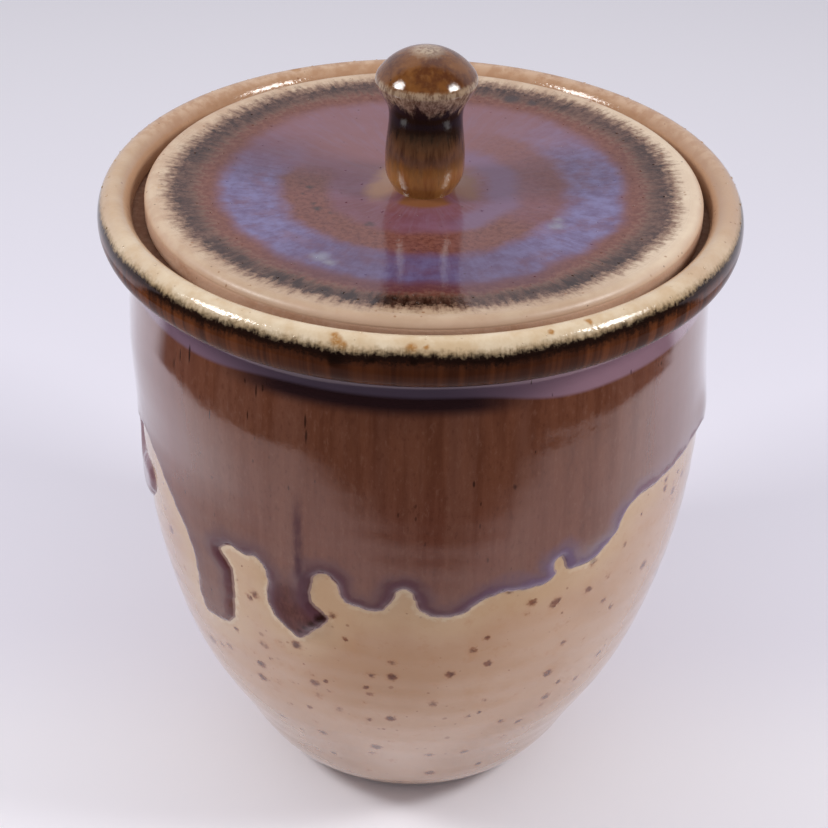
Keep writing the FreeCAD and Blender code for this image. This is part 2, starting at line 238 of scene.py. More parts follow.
def knob_profile(skin):
    foot = (KNOB_FOOT[0] - skin, KNOB_FOOT[1])
    stem = [(r - skin, z) for r, z in KNOB_STEM]
    flare = (KNOB_FLARE[0] - skin, KNOB_FLARE[1] + 0.4 * skin)
    brim = (KNOB_BRIM[0] - skin, KNOB_BRIM[1])
    crease = (KNOB_CREASE[0] - skin, KNOB_CREASE[1] - 0.7 * skin)
    apex = (0.0, KNOB_APEX_Z - skin)
    rise = apex[1] - crease[1]
    dome_r = (crease[0] ** 2 + rise ** 2) / (2 * rise)
    half = math.asin(crease[0] / dome_r) / 2
    shoulder = (dome_r * math.sin(half), apex[1] - dome_r * (1 - math.cos(half)))
    lip = ((brim[0] + crease[0]) / 2 + 0.05, (brim[1] + crease[1]) / 2 + 0.1)
    return joined(smooth_curve([foot] + stem + [flare, brim], 0.45),
                  round_corner(brim, lip, crease, 7), round_corner(crease, shoulder, apex, 30))


def lid_profile():
    """The lid's clay: underside, seat, rounded edge and top."""
    half = LID_EDGE * DIAGONAL
    low_side, seat_out = (LID_R, LEDGE_Z + LID_UNDER_EDGE), (LID_R - LID_UNDER_EDGE, LEDGE_Z)
    low_mid = (LID_R - 0.3 * LID_UNDER_EDGE, LEDGE_Z + 0.3 * LID_UNDER_EDGE)
    belly = [(0, LID_BELLY_Z), (LID_SEAT_IN / 2, LID_BELLY_Z + 0.1),
             (0.9 * LID_SEAT_IN, LEDGE_Z - 0.7), (LID_SEAT_IN, LEDGE_Z)]
    edge = round_corner(LID_SIDE, (LID_SHOULDER[0] + half, LID_SIDE[1] + half), LID_SHOULDER, 12)
    return joined(smooth_curve(belly, 2.5), straight((LID_SEAT_IN, LEDGE_Z), seat_out, 1.5),
                  round_corner(seat_out, low_mid, low_side, 6), straight(low_side, LID_SIDE, 0.7),
                  edge, smooth_curve(LID_TOP + [LID_SHOULDER], 1.6)[::-1])


def lid_coat_profile():
    """The lid's glaze: drawn up round the knob, thinning to nothing over the rounded edge."""
    rims = []
    for skin in (LID_GLAZE, 0.0):
        shoulder = (LID_SHOULDER[0], LID_SHOULDER[1] + 0.8 * skin)
        half = (LID_EDGE + 0.5 * skin) * DIAGONAL
        edge = round_corner(shoulder, (LID_SHOULDER[0] + half, LID_SIDE[1] + half), LID_SIDE, 22)
        rims.append((shoulder, edge[edge[:, 0] < LID_R - 0.06]))
    over = smooth_curve(KNOB_POOL + [(r, z + LID_GLAZE) for r, z in LID_TOP[1:]] + [rims[0][0]], 0.7)
    under = smooth_curve(LID_TOP + [rims[1][0]], 0.7)
    under = under[under[:, 0] > KNOB_POOL[0][0]]
    below = np.array([0.0, LID_COAT_ROOT])
    return joined(over, rims[0][1], (rims[1][1] - below)[::-1], (under - below)[::-1])


def coat_on(surface, thickness):
    """Closed profile of a coat: the surface lifted by the thickness, and back under it."""
    surface = np.array(surface, float)
    along = directions(surface)
    out = np.column_stack([along[:, 1], -along[:, 0]])
    return np.vstack([surface + out * thickness, (surface - out * COAT_ROOT)[::-1]])


# --- Turning a profile ------------------------------------------------------------------

def placed(name, data):
    """A new object at the origin, in the scene."""
    made = bpy.data.objects.new(name, data)
    bpy.context.scene.collection.objects.link(made)
    return made


def round_turn(columns):
    return np.arange(columns) * (2 * math.pi / columns)


def turned(name, profile, shift=0.0, ring=False):
    """A profile turned round the axis. Its ends lie on the axis, or it closes on itself if it is a ring."""
    columns = COLUMNS[name]
    turn = round_turn(columns)
    spots, rows = [], []
    for r, z in profile:
        if r < ON_AXIS:
            rows.append([len(spots)] * columns)
            spots.append((shift, 0.0, z))
        else:
            rows.append(range(len(spots), len(spots) + columns))
            spots.extend(zip(r * np.cos(turn) + shift, r * np.sin(turn), [z] * columns))
    pairs = list(zip(rows, rows[1:])) + ([(rows[-1], rows[0])] if ring else [])
    faces = []
    for low, high in pairs:
        for i in range(columns):
            j = (i + 1) % columns
            corners = [low[i], low[j], high[j], high[i]]
            faces.append([c for n, c in enumerate(corners) if c not in corners[:n]])
    return piece_of(name, np.array(spots) * MM, faces)


def piece_of(name, spots, faces):
    mesh = bpy.data.meshes.new(name)
    mesh.from_pydata([tuple(p) for p in spots], [], faces)
    shape = bmesh.new()
    shape.from_mesh(mesh)
    bmesh.ops.remove_doubles(shape, verts=shape.verts, dist=SAME_SPOT * MM)
    bmesh.ops.recalc_face_normals(shape, faces=shape.faces)
    shape.to_mesh(mesh)
    shape.free()
    return placed(name, mesh)


# --- The edge of the run glaze ----------------------------------------------------------

def run_edge_curve(spacing=0.15):
    """The run edge laid out flat, as (girth, height) and direction; three turns, so that it has no ends."""
    flat = np.array([(math.radians(a) * RUN_GIRTH_R, z) for a, z in RUN_EDGE])
    turns = np.vstack([flat + [RUN_GIRTH * k, 0] for k in (-1, 0, 1)])
    curve = smooth_curve(turns, spacing)
    along = directions(curve)
    length = np.arange(len(curve)) * spacing
    ragged = sum(np.sin(length * 2 * math.pi / wave + phase) * high for wave, phase, high in RUN_RAGGED)
    return curve + np.column_stack([-along[:, 1], along[:, 0]]) * ragged[:, None], along


def inside_run_edge(angle, height):
    """How far each point of the wall lies inside the run glaze; below the edge it is negative."""
    curve, along = EDGE
    x = (np.asarray(angle) * RUN_GIRTH_R + RUN_GIRTH / 2) % RUN_GIRTH - RUN_GIRTH / 2
    found = np.array([EDGE_TREE.find((a, b, 0))[1:] for a, b in zip(x, height)])
    near, distance = found[:, 0].astype(int), found[:, 1]
    off = np.column_stack([x, height]) - curve[near]
    side = along[near, 0] * off[:, 1] - along[near, 1] * off[:, 0]
    return np.sign(side) * distance


EDGE = run_edge_curve()
EDGE_TREE = kdtree.KDTree(len(EDGE[0]))
for place, (x, z) in enumerate(EDGE[0]):
    EDGE_TREE.insert((x, z, 0), place)
EDGE_TREE.balance()


def mark_run_edge(made):
    """Gives each point of a piece its distance inside the run edge."""
    co = np.empty(len(made.data.vertices) * 3)
    made.data.vertices.foreach_get("co", co)
    co = co.reshape(-1, 3) / MM
    distance = inside_run_edge(np.arctan2(co[:, 1], co[:, 0]), co[:, 2])
    note = made.data.attributes.new("edge_mm", "FLOAT", "POINT")
    note.data.foreach_set("value", distance.astype(np.float32))


# --- Writing node trees -----------------------------------------------------------------

class Recipe:
    """A node tree being written: each call adds a node and hands back its output."""

    def __init__(self, tree):
        self.tree = tree

    def node(self, kind, feeds=None, out=0, **settings):
        made = self.tree.nodes.new(kind)
        for key, value in settings.items():
            setattr(made, key, value)
        for place, value in (feeds or {}).items():
            self.feed(made.inputs[place], value)
        return made.outputs[out]

    def end(self, kind, feeds):
        """The last node of a tree, which has no output."""
        made = self.tree.nodes.new(kind)
        for place, value in feeds.items():
            self.feed(made.inputs[place], value)

    def feed(self, socket, value):
        if isinstance(value, bpy.types.NodeSocket):
            self.tree.links.new(value, socket)
        elif isinstance(value, tuple) and len(value) == 3 and socket.type == "RGBA":
            socket.default_value = (*value, 1.0)
        else:
            socket.default_value = value

    def reckon(self, kind, *values):
        return self.node("ShaderNodeMath", dict(enumerate(values)), operation=kind)

    def add(self, a, b):
        return self.reckon("ADD", a, b)

    def less(self, a, b):
        return self.reckon("SUBTRACT", a, b)

    def times(self, a, b):
        return self.reckon("MULTIPLY", a, b)

    def most(self, a, b):
        return self.reckon("MAXIMUM", a, b)

    def vector(self, kind, *values, out=0):
        return self.node("ShaderNodeVectorMath", dict(enumerate(values)), out, operation=kind)

    def scaled(self, vector, x, y, z):
        return self.vector("MULTIPLY", vector, (x, y, z))

    def parts(self, vector):
        made = self.tree.nodes.new("ShaderNodeSeparateXYZ")
        self.feed(made.inputs[0], vector)
        return made.outputs

    def whole(self, x, y, z):
        return self.node("ShaderNodeCombineXYZ", {0: x, 1: y, 2: z})

    def in_mm(self, place):
        return self.scaled(place, 1000, 1000, 1000)

    def around(self, place):
        """Distance from the upright axis, the direction away from it, and the place laid flat."""
        flat = self.scaled(place, 1, 1, 0)
        return self.vector("LENGTH", flat, out="Value"), self.vector("NORMALIZE", flat), flat

    def fade(self, value, start, end, low=0.0, high=1.0):
        """From low to high as the value goes from start to end, smoothly."""
        if isinstance(start, (int, float)) and isinstance(end, (int, float)) and start > end:
            start, end, low, high = end, start, high, low
        return self.node("ShaderNodeMapRange", {0: value, 1: start, 2: end, 3: low, 4: high},
                         interpolation_type="SMOOTHSTEP")

    def band(self, value, start, full, leave, end):
        """One between full and leave, none outside start and end."""
        return self.times(self.fade(value, start, full), self.fade(value, end, leave))

    def noise(self, vector, scale, detail=2.0, rough=0.5):
        return self.node("ShaderNodeTexNoise", {"Vector": vector, "Scale": scale, "Detail": detail,
                                                "Roughness": rough})

    def sway(self, noise, reach):
        """A noise taken about its middle, times the reach."""
        return self.times(self.less(noise, 0.5), reach)

    def stray(self, place, scale, detail, reach):
        """A small step in any direction that changes from place to place."""
        step = self.node("ShaderNodeTexNoise", {"Vector": place, "Scale": scale, "Detail": detail}, 1)
        return self.scaled(self.vector("SUBTRACT", step, (0.5, 0.5, 0.5)), reach, reach, reach)

    def mix(self, share, a, b):
        return self.node("ShaderNodeMix", {0: share, 6: a, 7: b}, 2, data_type="RGBA")

    def tones(self, value, start, end, first, last):
        """The first colour until the value reaches start, the last one from end on."""
        return self.mix(self.fade(value, start, end), first, last)

    def over(self, base, tone, share, strength=1.0):
        """A tone laid over the base by its share, times a strength."""
        if strength != 1.0:
            share = self.times(share, strength)
        return self.mix(share, base, tone)


def new_finish(name):
    """An empty material, its recipe, and the place in millimetres."""
    finish = bpy.data.materials.new(name)
    finish.use_nodes = True
    finish.node_tree.nodes.clear()
    recipe = Recipe(finish.node_tree)
    here = recipe.node("ShaderNodeTexCoord", out="Object")
    return finish, recipe, recipe.in_mm(here)


COAT_IOR, COAT_ROUGHNESS = 1.65, 0.05
COAT_ASLANT = (0.31, 0.60)          # facing at which the clear coat starts to show, and shows in full


def close_finish(recipe, colour, roughness, bump, bump_depth, ior=1.5, level=0.5, glaze=0.0,
                 tint=(1.0, 1.0, 1.0)):
    """Shader and output. Bump is in millimetres, times the depth; glaze is a clear coat seen aslant."""
    normal = recipe.node("ShaderNodeBump", {"Strength": 1.0, "Distance": bump_depth * MM, "Height": bump})
    if glaze != 0.0:
        facing = recipe.node("ShaderNodeLayerWeight", {"Blend": 0.5}, 1)
        glaze = recipe.times(recipe.fade(facing, *COAT_ASLANT), glaze)
    shader = recipe.node("ShaderNodeBsdfPrincipled", {
        "Base Color": colour, "Roughness": roughness, "IOR": ior, "Specular IOR Level": level,
        "Specular Tint": tint, "Coat Weight": glaze, "Coat IOR": COAT_IOR,
        "Coat Roughness": COAT_ROUGHNESS, "Normal": normal})
    recipe.end("ShaderNodeOutputMaterial", {"Surface": shader})


def run_edge_distance(recipe):
    """What mark_run_edge noted on the mesh: millimetres inside the run edge."""
    return recipe.node("ShaderNodeAttribute", out="Fac", attribute_name="edge_mm")


SPECK_WARP = 0.35                   # how far a speck's outline strays from round, by its size


def specks(recipe, here, cell, largest, share, soft=0.45, seed=0.0):
    """Iron specks strewn through the clay, a share of them in cells of that size; one inside a speck."""
    moved = recipe.vector("ADD", here, (seed, seed * 1.7, seed * 0.6))
    place = recipe.vector("ADD", moved, recipe.stray(here, 0.9, 2.0, SPECK_WARP * largest * 2))
    made = recipe.tree.nodes.new("ShaderNodeTexVoronoi")
    recipe.feed(made.inputs["Vector"], place)
    made.inputs["Scale"].default_value = 1.0 / cell
    pick = recipe.parts(made.outputs["Color"])
    radius = recipe.times(recipe.times(pick[0], largest / cell), recipe.fade(pick[1], share, share * 0.98))
    return recipe.fade(made.outputs["Distance"], radius, recipe.times(radius, soft))


def on_circle(degrees, radius, height, shift=0.0):
    turn = math.radians(degrees)
    return shift + radius * math.cos(turn), radius * math.sin(turn), height


def wall_spot(degrees, height):
    outline = WALL + [NECK]
    radius = float(np.interp(height, [z for _, z in outline], [r for r, _ in outline]))
    return on_circle(degrees, radius, height)


def lid_spot(degrees, radius):
    return on_circle(degrees, radius, LID_MARK_Z, LID_SHIFT)


def rim_spot(degrees, down):
    tilt = math.radians(down)
    return on_circle(degrees, BEAD_R + BEAD_OUT * math.sin(tilt), BEAD_Z + BEAD_UP * math.cos(tilt))


FAR_OFF = 9.0                       # farther than any mark reaches, counted in its size


def nearest(recipe, here, marks, spot_of, wobble=1.3):
    """Distance to the nearest of some marks, counted in that mark's own size: (degrees, place, size)."""
    here = recipe.vector("ADD", here, recipe.stray(here, 0.6, 3.0, wobble))
    least = FAR_OFF
    for degrees, where, size in marks:
        away = recipe.vector("DISTANCE", here, spot_of(degrees, where), out="Value")
        least = recipe.reckon("MINIMUM", least, recipe.times(away, 1.0 / size))
    return least


# --- Finishes ---------------------------------------------------------------------------
# A fade runs between two heights, radii or angles in degrees where it follows the shape, and otherwise
# between two values of a noise, which lie round 0.5. The scale of a noise on `here` is in waves per
# millimetre. A colour laid over another has a name; the two that a noise goes between stand beside it.

# Larger iron specks in the clay: spacing, largest radius and how many places hold one.
SPECK_CELL, SPECK_R, SPECK_SHARE = 4.6, 2.1, 0.62
# Where the finishes change over: the foot's bare ring, the lower wall painted darker as shade, the neck, the
# gallery, the bead.
FOOT_BARE, LOWER_SHADE = (2.2, 1.0), (52.0, 6.0)
NECK_LEFT, GALLERY_Z, GALLERY_IN = (150.0, 146.0), (148.0, 150.0), (70.0, 69.0)
BEAD_UNDER = (151.4, 152.6)


def stoneware():
    """Bare speckled clay under a thin, clear ash skin; toasted at the foot, painted darker as shade on the
    lower wall, and rawer in the gallery.
    """
    finish, r, here = new_finish("speckled_stoneware")
    tan, pale_tan, orange = (0.415, 0.240, 0.135), (0.455, 0.282, 0.176), (0.415, 0.225, 0.112)
    toast, shaded_low_tan, ash = (0.38, 0.19, 0.09), (0.375, 0.235, 0.155), (0.54, 0.385, 0.225)
    pale_edge, fleck, scorch = (0.60, 0.47, 0.32), (0.215, 0.090, 0.045), (0.370, 0.150, 0.055)
    z = r.parts(here)[2]
    radius = r.around(here)[0]
    cloud = r.noise(here, 0.035, 4.0, 0.55)
    fine = r.noise(here, 0.7, 4.0, 0.6)
    colour = r.tones(cloud, 0.38, 0.62, tan, pale_tan)
    colour = r.over(colour, orange, r.fade(r.noise(here, 0.12, 4.0, 0.6), 0.52, 0.72), 0.5)
    colour = r.over(colour, toast, r.fade(r.noise(here, 0.33, 4.0, 0.6), 0.58, 0.70), 0.35)
    # painted shade: the lower wall is made darker, to offset the floor's strong reflection there
    colour = r.over(colour, shaded_low_tan, r.fade(z, *LOWER_SHADE), 0.7)
    edge = r.add(run_edge_distance(r), r.sway(r.noise(here, 0.5, 4.0, 0.65), 4.0))
    wall = r.times(r.fade(z, *NECK_LEFT), r.fade(radius, 40.0, 46.0))
    colour = r.over(colour, ash, r.times(r.fade(edge, -11.0, -1.5), 0.45), wall)
    small = r.most(specks(r, here, 2.4, 0.6, 0.40), specks(r, here, 4.5, 1.0, 0.35, seed=31.0))
    colour = r.over(colour, fleck, small, 0.6)
    halo = specks(r, here, SPECK_CELL, 1.5 * SPECK_R, SPECK_SHARE, 0.1, seed=77.0)
    colour = r.over(colour, scorch, halo, 0.55)
    large = specks(r, here, SPECK_CELL, SPECK_R, SPECK_SHARE, 0.4, seed=77.0)
    iron = r.tones(fine, 0.42, 0.6, (0.070, 0.010, 0.002), (0.165, 0.045, 0.014))
    colour = r.over(colour, iron, large, 0.92)
    beside_glaze = r.times(wall, r.fade(cloud, 0.42, 0.58, 0.2, 0.7))
    colour = r.over(colour, pale_edge, r.fade(edge, -1.7, -0.4), beside_glaze)
    bare = r.times(r.fade(z, *GALLERY_Z), r.fade(radius, *GALLERY_IN))
    colour = r.over(colour, r.tones(fine, 0.35, 0.7, (0.32, 0.165, 0.105), (0.42, 0.25, 0.165)), bare)
    foot = r.fade(z, *FOOT_BARE)
    colour = r.over(colour, r.tones(fine, 0.35, 0.7, (0.24, 0.12, 0.065), (0.36, 0.20, 0.12)), foot)
    raw = r.most(bare, foot)
    roughness = r.add(r.fade(raw, 0.0, 1.0, 0.20, 0.72), r.times(r.fade(cloud, 0.4, 0.7), 0.06))
    skin = r.add(r.noise(here, 0.3, 3.0, 0.5), r.times(large, 0.3))
    close_finish(r, colour, roughness, skin, 0.022, level=0.24,
                 glaze=r.fade(raw, 0.0, 0.5, 0.8, 0.0), tint=(1.0, 0.86, 0.74))
    return finish


# Rust spots on the rim and the dark drips under them: (degrees, degrees down the bead, size).
RIM_RUST = [(-103, 34, 2.0), (-103.4, 18, 1.3), (-101.8, 46, 1.6), (-91.0, 38, 1.8),
            (-88.6, 34, 0.9), (-68, 18, 1.0), (-61, 12, 1.2), (118, 8, 2.2)]
RIM_DRIPS = [(-103, 72, 3.0), (-90.5, 66, 1.4), (-97, 70, 1.0), (-77, 68, 1.2)]


def bead_colours(r, here, colour):
    """The rolled rim: cream where the glaze ran thin, a soft black-brown fringe, amber brown below it."""
    thin, thick, greyed = (0.585, 0.435, 0.270), (0.70, 0.585, 0.425), (0.46, 0.305, 0.200)
    inner_tan, rust_tone, dot_tone = (0.46, 0.265, 0.155), (0.37, 0.165, 0.035), (0.19, 0.085, 0.045)
    stained, shaded_front_amber = (0.27, 0.185, 0.095), (0.034, 0.011, 0.006)
    fringe_black, drip_black = (0.009, 0.004, 0.003), (0.007, 0.003, 0.002)
    x, y, z = r.parts(here)
    radius, round_rim, _ = r.around(here)
    out = r.reckon("DIVIDE", r.less(radius, BEAD_R), BEAD_OUT)
    up = r.reckon("DIVIDE", r.less(z, BEAD_Z), BEAD_UP)
    turn = r.times(r.reckon("ARCTAN2", out, up), 180 / math.pi)
    feather = r.noise(r.scaled(round_rim, 110, 110, 0), 1.0, 5.0, 0.72)
    grain = r.noise(here, 1.1, 4.0, 0.65)
    slow = r.noise(round_rim, 3.2, 2.0)
    cloud = r.noise(here, 0.14, 4.0, 0.6)
    fringe = r.add(turn, r.sway(feather, 17.0))
    fringe = r.add(fringe, r.add(r.sway(slow, 30.0), r.sway(grain, 30.0)))

    cream = r.tones(cloud, 0.32, 0.68, thin, thick)
    back = r.add(y, r.sway(slow, 60.0))
    cream = r.over(cream, greyed, r.fade(back, -62.0, -8.0), r.fade(x, -50.0, 60.0, 0.65, 0.95))
    tan = r.tones(r.noise(here, 0.3, 4.0, 0.6), 0.38, 0.62, (0.42, 0.245, 0.150), (0.57, 0.395, 0.275))
    cream = r.over(cream, tan, r.fade(back, -5.0, 45.0), 0.8)
    cream = r.over(cream, inner_tan, r.fade(turn, -10.0, -58.0), 0.75)
    spots = r.fade(nearest(r, here, RIM_RUST, rim_spot), 1.0, 0.3)
    rust = r.most(spots, r.times(specks(r, here, 7.5, 0.9, 0.22, seed=12.0), 0.5))
    cream = r.over(cream, rust_tone, rust, r.fade(grain, 0.3, 0.55, 0.3, 0.9))
    dots = specks(r, here, 2.3, 0.42, 0.34, seed=5.0)
    cream = r.over(cream, dot_tone, dots, r.fade(y, -50.0, 0.0, 0.35, 0.75))
    cream = r.over(cream, stained, r.fade(fringe, 33.0, 52.0), 0.8)

    patches = r.noise(r.scaled(round_rim, 26, 26, 0), 1.0, 4.0, 0.6)
    amber = r.tones(patches, 0.38, 0.64, (0.042, 0.013, 0.006), (0.112, 0.034, 0.012))
    # painted shade: the bead's amber face is darker in the middle of the front
    amber = r.over(amber, shaded_front_amber, r.fade(r.reckon("ABSOLUTE", r.add(x, 2.0)), 46.0, 12.0), 0.5)
    colour = r.over(colour, amber, r.fade(turn, 168.0, 146.0))
    colour = r.over(colour, fringe_black, r.fade(fringe, 88.0, 66.0), 0.95)
    colour = r.over(colour, drip_black, r.fade(nearest(r, here, RIM_DRIPS, rim_spot), 1.0, 0.3), 0.9)
    level = r.fade(turn, 82.0, 90.0, 0.5, 0.03)
    level = r.add(level, r.fade(turn, 146.0, 156.0, 0.0, 0.2))
    return r.mix(r.fade(fringe, 45.0, 61.0), cream, colour), grain, level


# Where the thick glaze at the end of the long tongue went black: (degrees, height, size).
POOLS = [(-108.0, 83.8, 1.8), (-109.4, 82.0, 1.7), (-110.8, 80.2, 1.5), (-112.4, 78.6, 1.3)]
RIDGE = (-111.5, 104)               # a thicker ridge runs down the long tongue through this spot


def run_glaze():
    """Iron-brown glaze that ran down the wall: amber above, redder below, violet at its pooled edge, where it
    is partly a painted reflection.
    """
    finish, r, here = new_finish("brown_run_glaze")
    rosy, grit, dark_grit = (0.160, 0.068, 0.044), (0.185, 0.085, 0.055), (0.070, 0.022, 0.013)
    violet, worn_edge, ridge_tone = (0.160, 0.105, 0.175), (0.40, 0.27, 0.22), (0.062, 0.030, 0.042)
    drip_tone, shade, painted_reflection_dim = (0.230, 0.175, 0.250), (0.020, 0.008, 0.009), (0.065, 0.046, 0.066)
    painted_side_sheen, dash_tone, pool_tone = (0.185, 0.068, 0.045), (0.024, 0.008, 0.005), (0.018, 0.006, 0.003)
    x, _, z = r.parts(here)
    edge = run_edge_distance(r)
    streak = r.noise(r.scaled(here, 0.42, 0.42, 0.022), 1.0, 4.0, 0.55)
    broad = r.noise(r.scaled(here, 0.11, 0.11, 0.012), 1.0, 3.0)
    grain = r.noise(r.scaled(here, 1.0, 1.0, 0.45), 1.0, 4.0, 0.65)
    height = r.add(z, r.sway(r.noise(here, 0.045, 3.0, 0.6), 30.0))

    amber = r.tones(streak, 0.34, 0.66, (0.098, 0.032, 0.016), (0.130, 0.046, 0.024))
    red = r.tones(streak, 0.34, 0.66, (0.118, 0.038, 0.022), (0.145, 0.052, 0.032))
    colour = r.tones(height, 134.0, 104.0, amber, red)
    colour = r.over(colour, rosy, r.fade(broad, 0.46, 0.66), 0.45)
    colour = r.over(colour, grit, r.fade(grain, 0.52, 0.74), 0.4)
    colour = r.over(colour, dark_grit, r.fade(grain, 0.46, 0.30), 0.4)
    tongue = r.times(r.fade(height, 96.0, 84.0), r.band(x, -42.0, -37.0, -20.0, -8.0))
    tongue_tones = r.tones(grain, 0.35, 0.65, (0.062, 0.020, 0.017), (0.110, 0.040, 0.034))
    colour = r.over(colour, tongue_tones, tongue, 0.8)

    # The pooled edge, violet to the right and partly a painted reflection, and the ridge and the drip on the
    # left.
    wavy = r.add(edge, r.add(r.sway(r.noise(here, 0.2, 3.0), 4.4), r.sway(grain, 0.9)))
    to_the_right = r.fade(x, 0.0, 42.0)
    plum = r.mix(to_the_right, (0.082, 0.030, 0.034), (0.110, 0.066, 0.108))
    colour = r.over(colour, plum, r.fade(wavy, 7.0, 2.4), r.fade(z, 72.0, 92.0, 0.25, 0.9))
    # partly painted reflection: the violet just inside the pooled edge is the glaze's own colour with a
    # reflection painted in, stronger to the right
    rim_of_pool = r.band(wavy, 0.1, 0.9, 1.6, 3.4)
    colour = r.over(colour, violet, rim_of_pool, r.fade(to_the_right, 0.0, 1.0, 0.12, 0.80))
    colour = r.over(colour, worn_edge, r.fade(edge, 0.5, 0.1), 0.65)
    ridge_foot = (*wall_spot(*RIDGE)[:2], 0.0)
    beside = r.vector("DISTANCE", r.scaled(here, 1, 1, 0), ridge_foot, out="Value")
    ridge = r.times(r.fade(r.add(beside, r.times(grain, 1.2)), 2.6, 1.0), r.band(z, 92.0, 98.0, 110.0, 121.0))
    colour = r.over(colour, ridge_tone, ridge, 0.75)
    far_drip = r.times(r.fade(x, -60.0, -65.0), r.fade(z, 103.0, 99.0))
    colour = r.over(colour, drip_tone, far_drip, 0.8)
    low_left = r.times(r.fade(x, -26.0, -46.0), r.fade(z, 122.0, 100.0))
    dull = r.most(r.most(tongue, ridge), r.times(r.fade(wavy, 4.0, 2.0), 0.85))
    dull = r.most(dull, r.times(low_left, 0.7))

    # Under the bead: painted shade in the middle, and at the sides a lavender band that is a painted
    # reflection of the pale floor.
    aside = r.fade(r.reckon("ABSOLUTE", r.add(x, 9.0)), 12.0, 48.0)
    # painted sheen: far to the sides the wall is redder and brighter, standing in for the glaze's haze seen
    # aslant
    colour = r.over(colour, painted_side_sheen, r.fade(r.reckon("ABSOLUTE", x), 40.0, 62.0), 0.5)
    # painted shade: near black under the bead in the middle of the front, over a glaze that is dark there
    # itself
    colour = r.over(colour, shade, r.times(r.fade(z, 141.0, 144.5), r.fade(aside, 0.8, 0.1)))
    # painted reflection: the lavender band is the pale floor reflected in the hollow under the bead, dim in
    # the middle
    lavender = r.tones(x, 0.0, 40.0, (0.175, 0.105, 0.145), (0.240, 0.140, 0.175))
    band_low = r.less(r.fade(aside, 0.0, 1.0, 146.0, 143.6), r.fade(x, 15.0, 40.0, 0.0, 1.2))
    colour = r.over(colour, r.mix(aside, painted_reflection_dim, lavender), r.fade(r.less(z, band_low), 0.0, 1.2))

    # Short dark dashes, drawn out downwards, and the black pools.
    dashes = r.most(specks(r, r.scaled(here, 1, 1, 0.35), 2.0, 0.42, 0.40, seed=9.0),
                    specks(r, r.scaled(here, 1, 1, 0.5), 4.2, 0.85, 0.32, seed=40.0))
    dashes = r.times(dashes, r.fade(z, 112.0, 128.0, 0.6, 1.0))
    long_dashes = specks(r, r.scaled(here, 1, 1, 0.14), 1.8, 0.5, 0.5, seed=61.0)
    upper_left = r.times(r.fade(z, 122.0, 132.0), r.fade(x, 5.0, -25.0))
    dashes = r.most(dashes, r.times(long_dashes, upper_left))
    colour = r.over(colour, dash_tone, dashes, 0.85)
    colour = r.over(colour, pool_tone, r.fade(nearest(r, here, POOLS, wall_spot), 1.1, 0.4), 0.93)

    on_bead, _, bead_level = bead_colours(r, here, colour)
    up_on_bead = r.fade(z, *BEAD_UNDER)
    colour = r.over(colour, on_bead, up_on_bead)
    level = r.reckon("MULTIPLY_ADD", r.times(dull, r.fade(up_on_bead, 0.4, 0.0)), -0.38, 0.44)
    level = r.reckon("MINIMUM", level, r.add(bead_level, r.fade(up_on_bead, 0.6, 0.4, 0.0, 0.5)))
    skin = r.add(r.times(r.noise(here, 0.22, 2.0), 0.75), r.times(grain, 0.25))
    clear_coat = r.times(r.fade(up_on_bead, 0.5, 0.0), r.fade(dull, 0.0, 1.0, 1.0, 0.15))
    close_finish(r, colour, r.fade(grain, 0.3, 0.75, 0.06, 0.12), skin, 0.045, ior=1.62, level=level,
                 glaze=clear_coat, tint=(1.0, 0.78, 0.72))
    return finish


def rim_glaze():
    finish, r, here = new_finish("cream_glaze")
    colour, grain, _ = bead_colours(r, here, (0.09, 0.035, 0.015))
    skin = r.add(r.times(r.noise(here, 0.45, 3.0), 0.6), r.times(r.noise(here, 1.3, 3.0), 0.4))
    close_finish(r, colour, r.fade(grain, 0.3, 0.8, 0.10, 0.17), skin, 0.15)
    return finish


def liner_finish():
    """Thin cream glaze on the inside, broken to tan."""
    finish, r, here = new_finish("liner_glaze")
    tan, cream, iron = (0.50, 0.37, 0.24), (0.66, 0.54, 0.38), (0.16, 0.08, 0.05)
    cloud = r.noise(here, 0.06, 4.0, 0.6)
    colour = r.tones(cloud, 0.35, 0.65, tan, cream)
    colour = r.over(colour, iron, specks(r, here, 5.0, 0.6, 0.3), 0.7)
    close_finish(r, colour, r.fade(cloud, 0.3, 0.7, 0.12, 0.2), r.noise(here, 0.5, 3.0), 0.08)
    return finish


def on_the_lid(r, here):
    """Distance from the lid's middle, a direction round it, and the flat place from its middle."""
    return r.around(r.vector("SUBTRACT", here, (LID_SHIFT, 0.0, 0.0)))


LID_MARK_Z = 162.0
# Marks in the lid's glaze, at that height: (degrees, radius, size).
LID_PALE = [(-122, 42.5, 3.2), (-118, 43.5, 2.2), (-31, 35.5, 2.8), (-26, 34.5, 1.8)]
LID_IRON = [(-178, 26.9, 1.6), (-171, 28.5, 1.0), (-160, 27.2, 1.3), (-154, 27.4, 1.8), (-147, 25.5, 1.1),
            (-123, 22.5, 1.9), (-165, 24.0, 0.9), (-140, 27.0, 1.0), (66, 54.0, 3.2), (60, 54.5, 2.2)]
LID_RUST = [(-174, 62.5, 2.4), (-168, 62.8, 1.6), (-163, 63.0, 1.2), (-106, 63.4, 1.6),
            (-98, 63.6, 1.3), (-62, 63.2, 1.1)]


